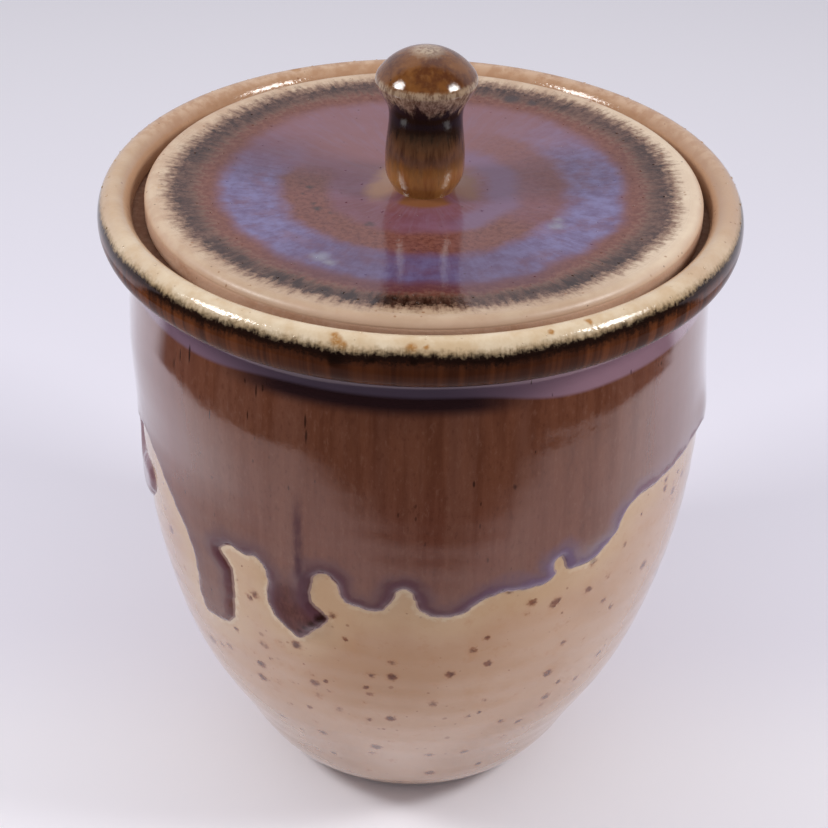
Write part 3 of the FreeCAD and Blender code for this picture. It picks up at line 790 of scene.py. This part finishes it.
def lid_finish():
    """Rings of the lid's glaze, from the knob outwards: mauve, rust, lavender, rust, iron fringe, cream."""
    finish, r, here = new_finish("lid_glaze")
    dusty, greyed_mauve, amber_tone = (0.225, 0.105, 0.112), (0.20, 0.12, 0.17), (0.190, 0.074, 0.026)
    blue_ring, near_shade, shaded_near_iron = (0.165, 0.105, 0.185), (0.060, 0.022, 0.050), (0.012, 0.003, 0.001)
    shaded_near_cream, lit_right_cream, stained = (0.40, 0.275, 0.180), (0.74, 0.62, 0.47), (0.285, 0.180, 0.118)
    pink_tone, ochre_tone, clot_tone = (0.54, 0.370, 0.265), (0.40, 0.195, 0.055), (0.040, 0.026, 0.026)
    pale_tone, freckle, dot_tone = (0.31, 0.33, 0.36), (0.26, 0.115, 0.048), (0.05, 0.020, 0.016)
    radius, way, flat = on_the_lid(r, here)
    across, back, _ = r.parts(way)
    slow = r.less(r.noise(way, 1.7, 3.0, 0.55), 0.5)
    cloud = r.noise(here, 0.09, 4.0, 0.6)
    speckle = r.noise(here, 0.75, 5.0, 0.7)
    drawn = r.noise(r.vector("ADD", r.scaled(way, 16, 16, 0), r.scaled(flat, 0.09, 0.09, 0)), 1.0, 4.0, 0.65)
    streaks = r.noise(r.vector("ADD", r.scaled(way, 40, 40, 0), r.scaled(flat, 0.12, 0.12, 0)), 1.0, 5.0, 0.7)
    feather = r.add(r.sway(streaks, 7.5), r.sway(speckle, 6.0))
    soft = r.add(radius, r.add(r.times(slow, 6.0), r.sway(cloud, 6.0)))
    ragged = r.add(radius, r.add(feather, r.times(slow, 4.5)))
    nearer = r.fade(back, -0.3, -0.9)

    # The glazes themselves.
    mauve = r.tones(cloud, 0.35, 0.68, (0.150, 0.052, 0.066), (0.190, 0.086, 0.128))
    mauve = r.over(mauve, dusty, r.fade(back, 0.2, 0.8), 0.75)
    mauve = r.over(mauve, greyed_mauve, r.fade(drawn, 0.45, 0.7), 0.35)
    rust = r.tones(speckle, 0.35, 0.65, (0.125, 0.036, 0.022), (0.185, 0.066, 0.042))
    clots = r.add(r.times(r.noise(here, 0.24, 5.0, 0.68), 0.65), r.times(drawn, 0.35))
    blue = r.tones(clots, 0.36, 0.64, (0.118, 0.080, 0.172), (0.178, 0.160, 0.312))
    iron = r.tones(speckle, 0.35, 0.65, (0.018, 0.007, 0.005), (0.070, 0.032, 0.023))
    # painted shade: the iron fringe is darker on the near side of the lid
    iron = r.over(iron, shaded_near_iron, nearer)
    cream = r.tones(r.noise(here, 0.2, 4.0, 0.6), 0.35, 0.68, (0.515, 0.360, 0.245), (0.62, 0.480, 0.345))
    # painted shade: the cream is darker on the near side of the lid
    cream = r.over(cream, shaded_near_cream, r.fade(back, -0.3, -0.9, 0.0, 0.5))
    # painted light: the cream is paler on the right side of the lid
    cream = r.over(cream, lit_right_cream, r.fade(across, 0.45, 0.95, 0.0, 0.6))
    halo = r.tones(across, -0.6, 0.5, (0.33, 0.18, 0.11), (0.19, 0.085, 0.050))
    red_brown = r.tones(speckle, 0.32, 0.62, (0.105, 0.032, 0.020), (0.185, 0.068, 0.046))
    brownish = r.tones(speckle, 0.4, 0.6, (0.115, 0.052, 0.034), (0.20, 0.115, 0.080))

    # Rings, from the knob outwards.
    colour = r.over(mauve, halo, r.fade(soft, 15.5, 11.0), r.fade(back, -0.7, -0.25, 0.1, 1.0))
    amber = r.times(r.fade(radius, 11.2, 9.6), r.fade(r.reckon("ABSOLUTE", across), 0.72, 0.5))
    colour = r.over(colour, amber_tone, r.times(amber, r.fade(back, 0.0, -0.3)), 0.9)
    inner_blue = r.times(r.band(soft, 14.0, 18.0, 21.5, 26.0), r.fade(across, 0.1, 0.6))
    colour = r.over(colour, blue_ring, inner_blue, 0.7)
    front = r.fade(r.add(back, r.times(across, 0.45)), 0.1, -0.4)
    sides = r.most(front, r.fade(across, 0.2, 0.7, 0.0, 0.45))
    patch = r.times(r.band(soft, 20.5, 25.0, 31.0, 36.5), sides)
    colour = r.over(colour, red_brown, patch, 0.85)
    from_behind = r.add(r.add(back, r.times(slow, 0.7)), r.times(across, -0.12))
    lavender = r.times(r.band(soft, 31.5, 37.0, 45.0, 50.0), r.fade(from_behind, 0.85, 0.0, 0.04, 1.0))
    mottled = r.fade(r.noise(r.scaled(here, 0.14, 0.14, 0.14), 1.0, 4.0, 0.65), 0.30, 0.56, 0.5, 1.0)
    colour = r.over(colour, blue, lavender, mottled)
    colour = r.over(colour, rust, r.fade(soft, 45.5, 50.5), 0.95)
    colour = r.over(colour, brownish, r.fade(ragged, 50.5, 54.5), 0.8)
    broken = r.fade(r.noise(r.scaled(way, 3.4, 3.4, 0), 1.0, 4.0, 0.6), 0.34, 0.56, 0.62, 0.95)
    hairy = r.times(broken, r.fade(drawn, 0.36, 0.60, 0.50, 1.0))
    colour = r.over(colour, iron, r.band(ragged, 52.0, 55.8, 57.8, 60.2), hairy)
    near_side = r.times(r.fade(back, -0.6, -0.95), r.band(soft, 30.0, 36.0, 50.0, 54.0))
    colour = r.over(colour, near_shade, near_side, 0.45)
    colour = r.over(colour, r.tones(ragged, 59.0, 62.4, stained, cream), r.fade(ragged, 57.2, 60.8))
    pink = r.fade(r.add(radius, r.sway(cloud, 3.0)), 63.8, 65.6)
    colour = r.over(colour, pink_tone, pink, 0.6)

    # Marks.
    ochre = r.times(r.fade(nearest(r, here, LID_RUST, lid_spot), 1.0, 0.25), r.fade(speckle, 0.4, 0.6))
    colour = r.over(colour, ochre_tone, ochre, 0.75)
    colour = r.over(colour, clot_tone, r.fade(nearest(r, here, LID_IRON, lid_spot), 1.0, 0.3), 0.85)
    pale = r.fade(nearest(r, here, LID_PALE, lid_spot, 2.2), 1.1, 0.0)
    colour = r.over(colour, pale_tone, r.times(pale, r.fade(cloud, 0.2, 0.6, 0.6, 1.0)), 0.5)
    freckles = specks(r, r.scaled(here, 1, 1, 0.6), 1.9, 0.55, 0.45, seed=52.0)
    colour = r.over(colour, freckle, r.times(freckles, r.fade(radius, 58.0, 61.0)), 0.75)
    dots = r.most(specks(r, here, 2.2, 0.42, 0.30, seed=3.0),
                  r.times(specks(r, here, 1.3, 0.34, 0.5, seed=15.0), patch))
    colour = r.over(colour, dot_tone, dots, 0.6)
    skin = r.add(r.times(r.noise(here, 0.30, 3.0), 0.75), r.times(speckle, 0.25))
    roughness = r.add(r.fade(speckle, 0.3, 0.75, 0.06, 0.15), r.fade(radius, 61.5, 63.0, 0.0, 0.30))
    close_finish(r, colour, roughness, skin, 0.06)
    return finish


def lid_clay():
    """The lid's bare side and underside: pinkish tan, wiped clean of glaze."""
    finish, r, here = new_finish("lid_stoneware")
    tan, pink_tan = (0.44, 0.265, 0.175), (0.54, 0.36, 0.255)
    pale, iron = (0.54, 0.37, 0.28), (0.17, 0.085, 0.055)
    fine = r.noise(here, 0.8, 4.0, 0.6)
    colour = r.tones(r.noise(here, 0.07, 3.0), 0.35, 0.65, tan, pink_tan)
    colour = r.over(colour, pale, r.fade(fine, 0.45, 0.7), 0.5)
    colour = r.over(colour, iron, specks(r, here, 4.0, 0.55, 0.35), 0.7)
    close_finish(r, colour, r.fade(fine, 0.3, 0.7, 0.42, 0.6), r.noise(here, 0.9, 3.0, 0.6), 0.12)
    return finish


def knob_finish():
    """Amber glaze on the knob: broken pale at the brim and on top, near black under the brim."""
    finish, r, here = new_finish("amber_knob_glaze")
    dome_grain, stem_grain, foot_glow = (0.24, 0.12, 0.05), (0.15, 0.085, 0.046), (0.58, 0.29, 0.085)
    dark, cap_tone = (0.010, 0.005, 0.004), (0.46, 0.36, 0.26)
    line_tone, dot_tone = (0.36, 0.26, 0.17), (0.02, 0.008, 0.004)
    z = r.parts(here)[2]
    radius, way, _ = on_the_lid(r, here)
    drawn = r.vector("ADD", r.scaled(way, 3.2, 3.2, 0), r.scaled(here, 0.15, 0.15, 0.07))
    runs = r.noise(drawn, 1.0, 4.0, 0.6)
    fine = r.noise(r.scaled(here, 1.1, 1.1, 0.45), 1.0, 5.0, 0.68)
    dome = r.tones(r.noise(here, 0.22, 3.0, 0.6), 0.36, 0.62, (0.090, 0.030, 0.012), (0.180, 0.070, 0.020))
    dome = r.over(dome, dome_grain, r.fade(fine, 0.5, 0.7), 0.3)
    stem = r.tones(runs, 0.38, 0.62, (0.050, 0.020, 0.010), (0.130, 0.057, 0.026))
    stem = r.over(stem, stem_grain, r.fade(fine, 0.52, 0.72), 0.4)
    foot = r.tones(runs, 0.36, 0.64, (0.270, 0.105, 0.030), (0.380, 0.175, 0.050))
    foot = r.over(foot, foot_glow, r.fade(z, 164.0, 158.0, 0.0, 0.7))
    brim = r.tones(fine, 0.35, 0.66, (0.140, 0.076, 0.046), (0.400, 0.285, 0.200))
    low = r.add(z, r.add(r.sway(runs, 12.0), r.sway(fine, 4.0)))
    colour = r.tones(low, 173.0, 166.0, stem, foot)
    colour = r.over(colour, dark, r.fade(low, 174.5, 179.5), 0.95)
    colour = r.over(colour, brim, r.fade(low, 183.6, 186.6))
    on_top = r.fade(z, 189.5, 190.2)
    colour = r.over(colour, dome, on_top)
    cap = r.times(r.fade(r.add(radius, r.sway(fine, 6.0)), 5.0, 2.4), on_top)
    colour = r.over(colour, cap_tone, cap, r.fade(fine, 0.4, 0.6, 0.35, 0.9))
    line = r.band(z, 188.4, 189.2, 189.9, 190.6)
    colour = r.over(colour, line_tone, line, r.fade(fine, 0.42, 0.62, 0.15, 0.8))
    colour = r.over(colour, dot_tone, specks(r, here, 2.4, 0.36, 0.35), 0.7)
    skin = r.add(r.times(fine, 0.45), r.times(runs, 0.55))
    level = r.fade(r.band(z, 170.0, 175.0, 184.0, 187.0), 0.0, 1.0, 0.5, 0.22)
    close_finish(r, colour, r.fade(fine, 0.3, 0.8, 0.04, 0.10), skin, 0.09, ior=1.58, level=level)
    return finish


# --- Geometry node trees ----------------------------------------------------------------

def new_tree(name, numbers):
    """A geometry tree with a geometry in and out, and named numbers to set."""
    tree = bpy.data.node_groups.new(name, "GeometryNodeTree")
    tree.interface.new_socket("Geometry", in_out="INPUT", socket_type="NodeSocketGeometry")
    tree.interface.new_socket("Geometry", in_out="OUTPUT", socket_type="NodeSocketGeometry")
    for label, (kind, value) in numbers.items():
        socket = tree.interface.new_socket(label, in_out="INPUT", socket_type="NodeSocket" + kind)
        if value is not None:
            socket.default_value = value
    entry = tree.nodes.new("NodeGroupInput")
    return tree, Recipe(tree), entry.outputs


def close_tree(tree, shape, material):
    r = Recipe(tree)
    plain = r.node("GeometryNodeRealizeInstances", {0: shape})
    finished = r.node("GeometryNodeSetMaterial", {0: plain, 2: material})
    tree.links.new(finished, tree.nodes.new("NodeGroupOutput").inputs[0])


def grown(made, tree, settings):
    """Runs a geometry tree on a piece and leaves its result as a plain mesh."""
    modifier = made.modifiers.new(tree.name, "NODES")
    modifier.node_group = tree
    for item in tree.interface.items_tree:
        if item.in_out == "INPUT" and item.name in settings:
            modifier[item.identifier] = settings[item.name]
    bpy.context.view_layer.update()
    result = bpy.data.meshes.new_from_object(made.evaluated_get(bpy.context.evaluated_depsgraph_get()))
    made.modifiers.remove(modifier)
    made.data = result
    result.shade_smooth()
    return made


def throwing_marks_tree():
    """The potter's hands: faint rings, a slow wander of the radius inwards, and a belly that sways."""
    tree, r, given = new_tree("throwing_marks", {
        "Ring depth": ("Float", 0.06), "Ring pitch": ("Float", 7.0), "Wander": ("Float", 0.25),
        "Centre": ("Float", 0.0), "Sway": ("Float", 0.0), "Material": ("Material", None)})
    here = r.in_mm(r.node("GeometryNodeInputPosition"))
    centred = r.vector("SUBTRACT", here, r.whole(given["Centre"], 0.0, 0.0))
    radius, way, _ = r.around(centred)
    z = r.parts(here)[2]
    girth = r.noise(r.vector("ADD", r.scaled(way, 0.9, 0.9, 0), r.scaled(here, 0, 0, 0.012)), 1.0, 2.0)
    phase = r.times(r.add(r.reckon("DIVIDE", z, given["Ring pitch"]), r.times(girth, 1.6)), 2 * math.pi)
    uneven = r.noise(r.vector("ADD", r.scaled(way, 0.8, 0.8, 0), r.scaled(here, 0, 0, 0.09)), 1.0, 3.0)
    rings = r.times(r.times(r.less(r.reckon("SINE", phase), 1.0), given["Ring depth"]), uneven)
    wander = r.times(r.times(girth, given["Wander"]), -1.0)
    keep = r.times(r.fade(radius, 6.0, 30.0), r.fade(z, 0.5, 12.0))
    below_rim = r.fade(z, 152.0, 147.0)
    shift = r.times(r.add(r.times(rings, below_rim), wander), r.times(keep, MM))
    lean = r.times(r.times(r.fade(z, 40.0, 106.0), r.fade(z, 131.0, 108.0)), r.times(given["Sway"], MM))
    offset = r.vector("ADD", r.vector("MULTIPLY", way, r.whole(shift, shift, 0.0)), r.whole(lean, 0.0, 0.0))
    moved = r.node("GeometryNodeSetPosition", {0: given["Geometry"], 3: offset})
    close_tree(tree, moved, given["Material"])
    return tree


def run_coat_tree():
    """The run glaze, grown from the bare wall: cut along the run edge, lifted, and rolled at the edge."""
    tree, r, given = new_tree("run_glaze_coat", {
        "Edge roll": ("Float", 0.15), "Roll width": ("Float", 3.0), "Meniscus": ("Float", 2.6),
        "Streak depth": ("Float", 0.08), "Sink": ("Float", 0.35), "Reach": ("Float", 1.3),
        "Material": ("Material", None)})
    known = {name: r.node("GeometryNodeInputNamedAttribute", {0: name}, data_type=kind)
             for name, kind in (("edge_mm", "FLOAT"), ("coat_mm", "FLOAT"), ("out", "FLOAT_VECTOR"))}
    here = r.in_mm(r.node("GeometryNodeInputPosition"))
    edge = known["edge_mm"]
    beyond = r.node("FunctionNodeCompare", {0: edge, 1: r.times(given["Reach"], -1.0)},
                    data_type="FLOAT", operation="LESS_THAN")
    sheet = r.node("GeometryNodeDeleteGeometry", {0: given["Geometry"], 1: beyond}, domain="FACE")
    inward = r.most(r.reckon("DIVIDE", edge, given["Meniscus"]), 0.0)
    rounded = r.less(1.0, r.reckon("POWER", r.less(1.0, r.reckon("MINIMUM", inward, 1.0)), 2.0))
    outwards = r.times(r.reckon("DIVIDE", edge, given["Roll width"]), -1.0)
    roll = r.times(r.reckon("EXPONENT", outwards), given["Edge roll"])
    streak = r.sway(r.noise(r.scaled(here, 0.16, 0.16, 0.016), 1.0, 3.0, 0.5), given["Streak depth"])
    body = r.add(r.add(known["coat_mm"], r.reckon("MINIMUM", roll, 1.0)),
                 r.times(streak, r.fade(r.parts(here)[2], 150.0, 140.0)))
    outside = r.times(r.fade(edge, 0.0, r.times(given["Reach"], -1.0)), given["Sink"])
    rise = r.less(r.times(body, rounded), outside)
    depth = r.add(given["Sink"], RUN_ROOT)
    down = r.vector("SCALE", known["out"])
    r.feed(down.node.inputs["Scale"], r.times(depth, -MM))
    bottom = r.node("GeometryNodeSetPosition", {0: sheet, 3: down})
    made = tree.nodes.new("GeometryNodeExtrudeMesh")
    made.mode = "FACES"
    made.inputs["Individual"].default_value = False
    made.inputs["Offset Scale"].default_value = 0.0
    r.feed(made.inputs["Mesh"], bottom)
    lift = r.vector("SCALE", known["out"])
    r.feed(lift.node.inputs["Scale"], r.times(r.add(rise, depth), MM))
    top = r.node("GeometryNodeSetPosition", {0: made.outputs["Mesh"], 1: made.outputs["Top"], 3: lift})
    both = tree.nodes.new("GeometryNodeJoinGeometry")
    for part in (top, r.node("GeometryNodeFlipFaces", {0: bottom})):
        tree.links.new(part, both.inputs[0])
    whole = r.node("GeometryNodeMergeByDistance", {0: both.outputs[0], "Distance": 1e-6})
    close_tree(tree, whole, given["Material"])
    return tree


# Grains of grog, in metres for the tree: how far apart, how large, and the draw.
RIM_GRAINS = {"Spacing": 0.0026, "Grain": 0.00040, "Seed": 7}
LID_GRAINS = {"Spacing": 0.0034, "Grain": 0.00034, "Seed": 11}
GRAIN_SINK = 0.02                   # millimetres that their middles lie below the glaze
RIM_GRAIN_BAND = (50, -55)          # degrees down the bead, outwards and inwards
LID_GRAIN_BAND = (12, 61)           # from this radius to this one


def grit_tree():
    """Grains of grog under the glaze: small smooth pimples strewn over a band of the surface."""
    tree, r, given = new_tree("grit_under_glaze", {
        "Spacing": ("Float", 0.0022), "Grain": ("Float", 0.00042), "Seed": ("Int", 4),
        "Material": ("Material", None)})
    made = tree.nodes.new("GeometryNodeDistributePointsOnFaces")
    made.distribute_method = "POISSON"
    r.feed(made.inputs["Mesh"], given["Geometry"])
    r.feed(made.inputs["Distance Min"], given["Spacing"])
    made.inputs["Density Max"].default_value = 160000.0
    made.inputs["Density Factor"].default_value = 0.5
    r.feed(made.inputs["Seed"], given["Seed"])
    grain = tree.nodes.new("GeometryNodeMeshUVSphere")
    grain.inputs["Segments"].default_value = 8
    grain.inputs["Rings"].default_value = 5
    r.feed(grain.inputs["Radius"], given["Grain"])
    flat = r.node("GeometryNodeTransform", {0: grain.outputs["Mesh"], "Scale": (1.0, 1.0, 0.4)})
    size = r.node("FunctionNodeRandomValue", {2: 0.35, 3: 1.0, "Seed": given["Seed"]}, 1, data_type="FLOAT")
    strewn = r.node("GeometryNodeInstanceOnPoints", {"Points": made.outputs["Points"], "Instance": flat,
                                                     "Rotation": made.outputs["Rotation"], "Scale": size})
    close_tree(tree, strewn, given["Material"])
    return tree


# --- Making the pieces ------------------------------------------------------------------

THROWING = throwing_marks_tree()
RUN_COAT = run_coat_tree()
GRIT = grit_tree()
CLAY, LID_CLAY = stoneware(), lid_clay()
RUN, CREAM, LINING = run_glaze(), rim_glaze(), liner_finish()
LID_COLOURS, AMBER = lid_finish(), knob_finish()


def finished(made, node, body, slot):
    """Smooth outside, crisp where the tool cut; rides on its body in place of its CAD node."""
    made.data.shade_smooth()
    made.data.set_sharp_from_angle(angle=math.radians(CREASE))
    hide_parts(node)
    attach(made, body)


def run_sheet():
    """The bare wall from below the run edge to the fringe, with what the coat needs to know."""
    columns = COLUMNS["run_glaze_coat"]
    wall = smooth_curve(WALL + [NECK], 0.2)
    low = wall[wall[:, 1] >= RUN_LOW]
    dense = smooth_curve(low[low[:, 1] <= RUN_LOBES], RUN_FINE)
    upper = smooth_curve(low[low[:, 1] >= RUN_LOBES], RUN_COARSE)
    rim = bead(0.0, 180, FRINGE_TURN, 24)
    profile = joined(dense, upper, cove(NECK, rim[0], 9), rim)
    along, rows = directions(profile), len(profile)
    grid_turn, grid_row = np.tile(round_turn(columns), rows), np.repeat(np.arange(rows), columns)
    cos, sin = np.cos(grid_turn), np.sin(grid_turn)
    r, z = profile[grid_row, 0], profile[grid_row, 1]
    coat = np.interp(z, [height for height, _ in RUN_T], [t for _, t in RUN_T])
    for degrees, height, round_it, up_it, extra in RUN_SWELLS:
        away = (grid_turn - math.radians(degrees) + math.pi) % (2 * math.pi) - math.pi
        coat += extra * np.exp(-(away * RUN_GIRTH_R / round_it) ** 2 - ((z - height) / up_it) ** 2)
    spots = np.column_stack([r * cos, r * sin, z]) * MM
    first = np.arange((rows - 1) * columns)
    after = first - first % columns + (first + 1) % columns
    faces = np.column_stack([first, after, after + columns, first + columns])
    mesh = bpy.data.meshes.new("run_glaze_coat")
    mesh.from_pydata(spots.tolist(), [], faces.tolist())
    made = placed("run_glaze_coat", mesh)
    out = np.column_stack([along[grid_row, 1] * cos, along[grid_row, 1] * sin, -along[grid_row, 0]])
    for label, kind, field, values in (
            ("edge_mm", "FLOAT", "value", inside_run_edge(grid_turn, z)),
            ("coat_mm", "FLOAT", "value", coat),
            ("out", "FLOAT_VECTOR", "vector", out.ravel())):
        mesh.attributes.new(label, kind, "POINT").data.foreach_set(field, values.astype(np.float32))
    return made


def make_pot():
    clay = turned("thrown_pot", clay_profile())
    mark_run_edge(clay)
    grown(clay, THROWING, {"Material": CLAY, "Sway": BELLY_SWAY})
    finished(clay, "pot_body", "pot", "bare_stoneware")

    coat = grown(run_sheet(), RUN_COAT, {"Material": RUN})
    coat = grown(coat, THROWING, {"Material": RUN, "Sway": BELLY_SWAY, "Ring depth": 0.035})
    finished(coat, "run_glaze", "pot", "brown_run_glaze")

    rim = joined(bead(0.0, FRINGE_TURN, -90, 34),
                 straight((GALLERY_R, BEAD_Z), (GALLERY_R, LEDGE_Z + SEAT_BARE), 0.4))
    cream = turned("cream_rim_glaze", coat_on(rim, RIM_GLAZE), ring=True)
    finished(grown(cream, THROWING, {"Material": CREAM}), "rim_glaze", "pot", "cream_glaze")

    lining = coat_on(inside(0.0)[::-1][:-1], LINER)
    face, back = np.split(lining, 2)
    lining = np.vstack([face, [(0.0, FLOOR + LINER), (0.0, FLOOR - COAT_ROOT)], back])
    liner = turned("cream_liner_glaze", lining, ring=True)
    liner = grown(liner, THROWING, {"Material": LINING, "Sway": BELLY_SWAY})
    finished(liner, "liner_glaze", "pot", "cream_glaze")

    band = turned("rim_grit", bead(RIM_GLAZE - GRAIN_SINK, *RIM_GRAIN_BAND, 16))
    grit = grown(band, GRIT, {"Material": CREAM, **RIM_GRAINS})
    grit.data.shade_smooth()
    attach(grit, "pot")


def make_lid():
    plate = grown(turned("thrown_lid", lid_profile(), LID_SHIFT), THROWING,
                  {"Material": LID_CLAY, "Centre": LID_SHIFT, "Wander": 0.12})
    finished(plate, "lid_plate", "lid", "bare_stoneware")

    coat = turned("lid_glaze_coat", lid_coat_profile(), LID_SHIFT, ring=True)
    coat = grown(coat, THROWING, {"Material": LID_COLOURS, "Centre": LID_SHIFT, "Wander": 0.12})
    finished(coat, "lid_glaze", "lid", "lid_glaze")

    core = joined([(0.0, KNOB_FOOT[1])], knob_profile(KNOB_GLAZE))
    core = turned("thrown_knob", core, LID_SHIFT)
    core.data.materials.append(LID_CLAY)
    finished(core, "lid_knob", "lid", "bare_stoneware")

    under = knob_profile(KNOB_GLAZE + KNOB_ROOT)[::-1]
    knob = np.vstack([knob_profile(0.0), under])
    knob = turned("amber_knob_glaze", knob, LID_SHIFT, ring=True)
    knob.data.materials.append(AMBER)
    finished(knob, "knob_glaze", "lid", "amber_knob_glaze")

    top = smooth_curve(LID_TOP + [LID_SHOULDER], 2.0)
    lifted = [(r, z + LID_GLAZE - GRAIN_SINK) for r, z in top
              if LID_GRAIN_BAND[0] < r < LID_GRAIN_BAND[1]]
    grit = grown(turned("lid_grit", lifted, LID_SHIFT), GRIT, {"Material": LID_COLOURS, **LID_GRAINS})
    grit.data.shade_smooth()
    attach(grit, "lid")


make_pot()
make_lid()


# --- Studio -----------------------------------------------------------------------------

FLOOR_HALF = 2.6                    # metres from its middle to its sides
DARK_ROOM = (0.02, 0.018, 0.02)


def floor_sheet():
    """Pale paper floor. In reflections it ends an arm's length away, and in front where the room begins."""
    finish, r, here = new_finish("pale_paper")
    x, y, _ = r.parts(here)
    distance = r.around(r.vector("SUBTRACT", here, (SHEET_SHIFT, 0.0, 0.0)))[0]
    front_edge = r.add(r.times(r.reckon("ABSOLUTE", r.less(x, FRONT_MID)), FRONT_SLOPE), FRONT_NEAR)
    in_front = r.fade(r.add(y, front_edge), FRONT_SOFT, -FRONT_SOFT)
    past_edge = r.fade(distance, SHEET_R - SHEET_SOFT, SHEET_R + SHEET_SOFT)
    past_edge = r.times(past_edge, r.fade(y, 120.0, 60.0))
    unseen = r.times(r.most(past_edge, in_front), r.node("ShaderNodeLightPath", out="Is Glossy Ray"))
    # painted light: the paper is paler in front near the pot's foot and far behind it
    painted_floor_light = r.most(r.fade(y, 40.0, -30.0), r.fade(y, 150.0, 500.0))
    paper = r.mix(painted_floor_light, (0.84, 0.83, 0.925), (0.93, 0.925, 0.99))
    paper = r.over(paper, DARK_ROOM, unseen)
    shader = r.node("ShaderNodeBsdfPrincipled", {
        "Base Color": paper, "Roughness": 0.9, "Specular IOR Level": 0.1})
    r.end("ShaderNodeOutputMaterial", {"Surface": shader})
    mesh = bpy.data.meshes.new("paper_floor")
    corners = [(-1, -1), (1, -1), (1, 1), (-1, 1)]
    mesh.from_pydata([(x * FLOOR_HALF, y * FLOOR_HALF, 0) for x, y in corners], [], [(0, 1, 2, 3)])
    sheet = placed("paper_floor", mesh)
    mesh.materials.append(finish)


def room_light():
    """Fill from the sides and behind, less in front; reflections see a pale sweep and a dark room."""
    room = bpy.data.worlds.new("studio_room")
    bpy.context.scene.world = room
    room.use_nodes = True
    room.node_tree.nodes.clear()
    r = Recipe(room.node_tree)
    way = r.parts(r.node("ShaderNodeTexCoord", out="Generated"))
    fill = r.tones(way[1], -0.75, 0.15, (0.45, 0.44, 0.46), (0.69, 0.67, 0.71))
    fill = r.over(fill, (0.44, 0.43, 0.455), r.fade(way[2], 0.35, 0.95))
    sweep = r.tones(way[1], 0.12, 0.30, (0.018, 0.016, 0.018), (0.60, 0.575, 0.63))
    light = r.mix(r.node("ShaderNodeLightPath", out="Is Glossy Ray"), fill, sweep)
    light = r.over(light, (0.72, 0.69, 0.77), r.node("ShaderNodeLightPath", out="Is Camera Ray"))
    shine = r.node("ShaderNodeBackground", {0: light, 1: 1.0})
    r.end("ShaderNodeOutputWorld", {0: shine})


# Soft boxes: how far off and how wide, in metres, how strong, and the height at which they aim.
BOX_AWAY, BOX_SIDE, BOX_WATTS, BOX_AIM_Z = 0.62, 0.14, 1.9, 120


def soft_box(name, degrees, climb):
    """Square soft box aimed at the pot's upper half."""
    aim = Vector((0, 0, BOX_AIM_Z)) * MM
    turn, rise = math.radians(degrees), math.radians(climb)
    way = Vector((math.cos(turn) * math.cos(rise), math.sin(turn) * math.cos(rise), math.sin(rise)))
    lamp = bpy.data.lights.new(name, "AREA")
    lamp.shape, lamp.size, lamp.energy = "SQUARE", BOX_SIDE, BOX_WATTS
    lamp.color = (1.0, 0.985, 0.97)
    box = placed(name, lamp)
    box.location = aim + way * BOX_AWAY
    box.rotation_euler = (-way).to_track_quat("-Z", "Y").to_euler()


def camera():
    lens = bpy.data.cameras.new("camera")
    lens.lens, lens.sensor_width = CAMERA_LENS, 36.0
    lens.clip_start, lens.clip_end = 0.01, 20.0
    stand = placed("camera", lens)
    at, aim = Vector(CAMERA_AT) * MM, Vector(CAMERA_AIM) * MM
    level = (aim - at).to_track_quat("-Z", "Y")
    stand.matrix_world = (Matrix.Translation(at) @ level.to_matrix().to_4x4()
                          @ Matrix.Rotation(math.radians(CAMERA_ROLL), 4, "Z"))
    bpy.context.scene.camera = stand


floor_sheet()
room_light()
soft_box("left_box", -166, 41)
soft_box("right_box", -17, 39)
camera()
bpy.context.scene.view_settings.view_transform = "Standard"
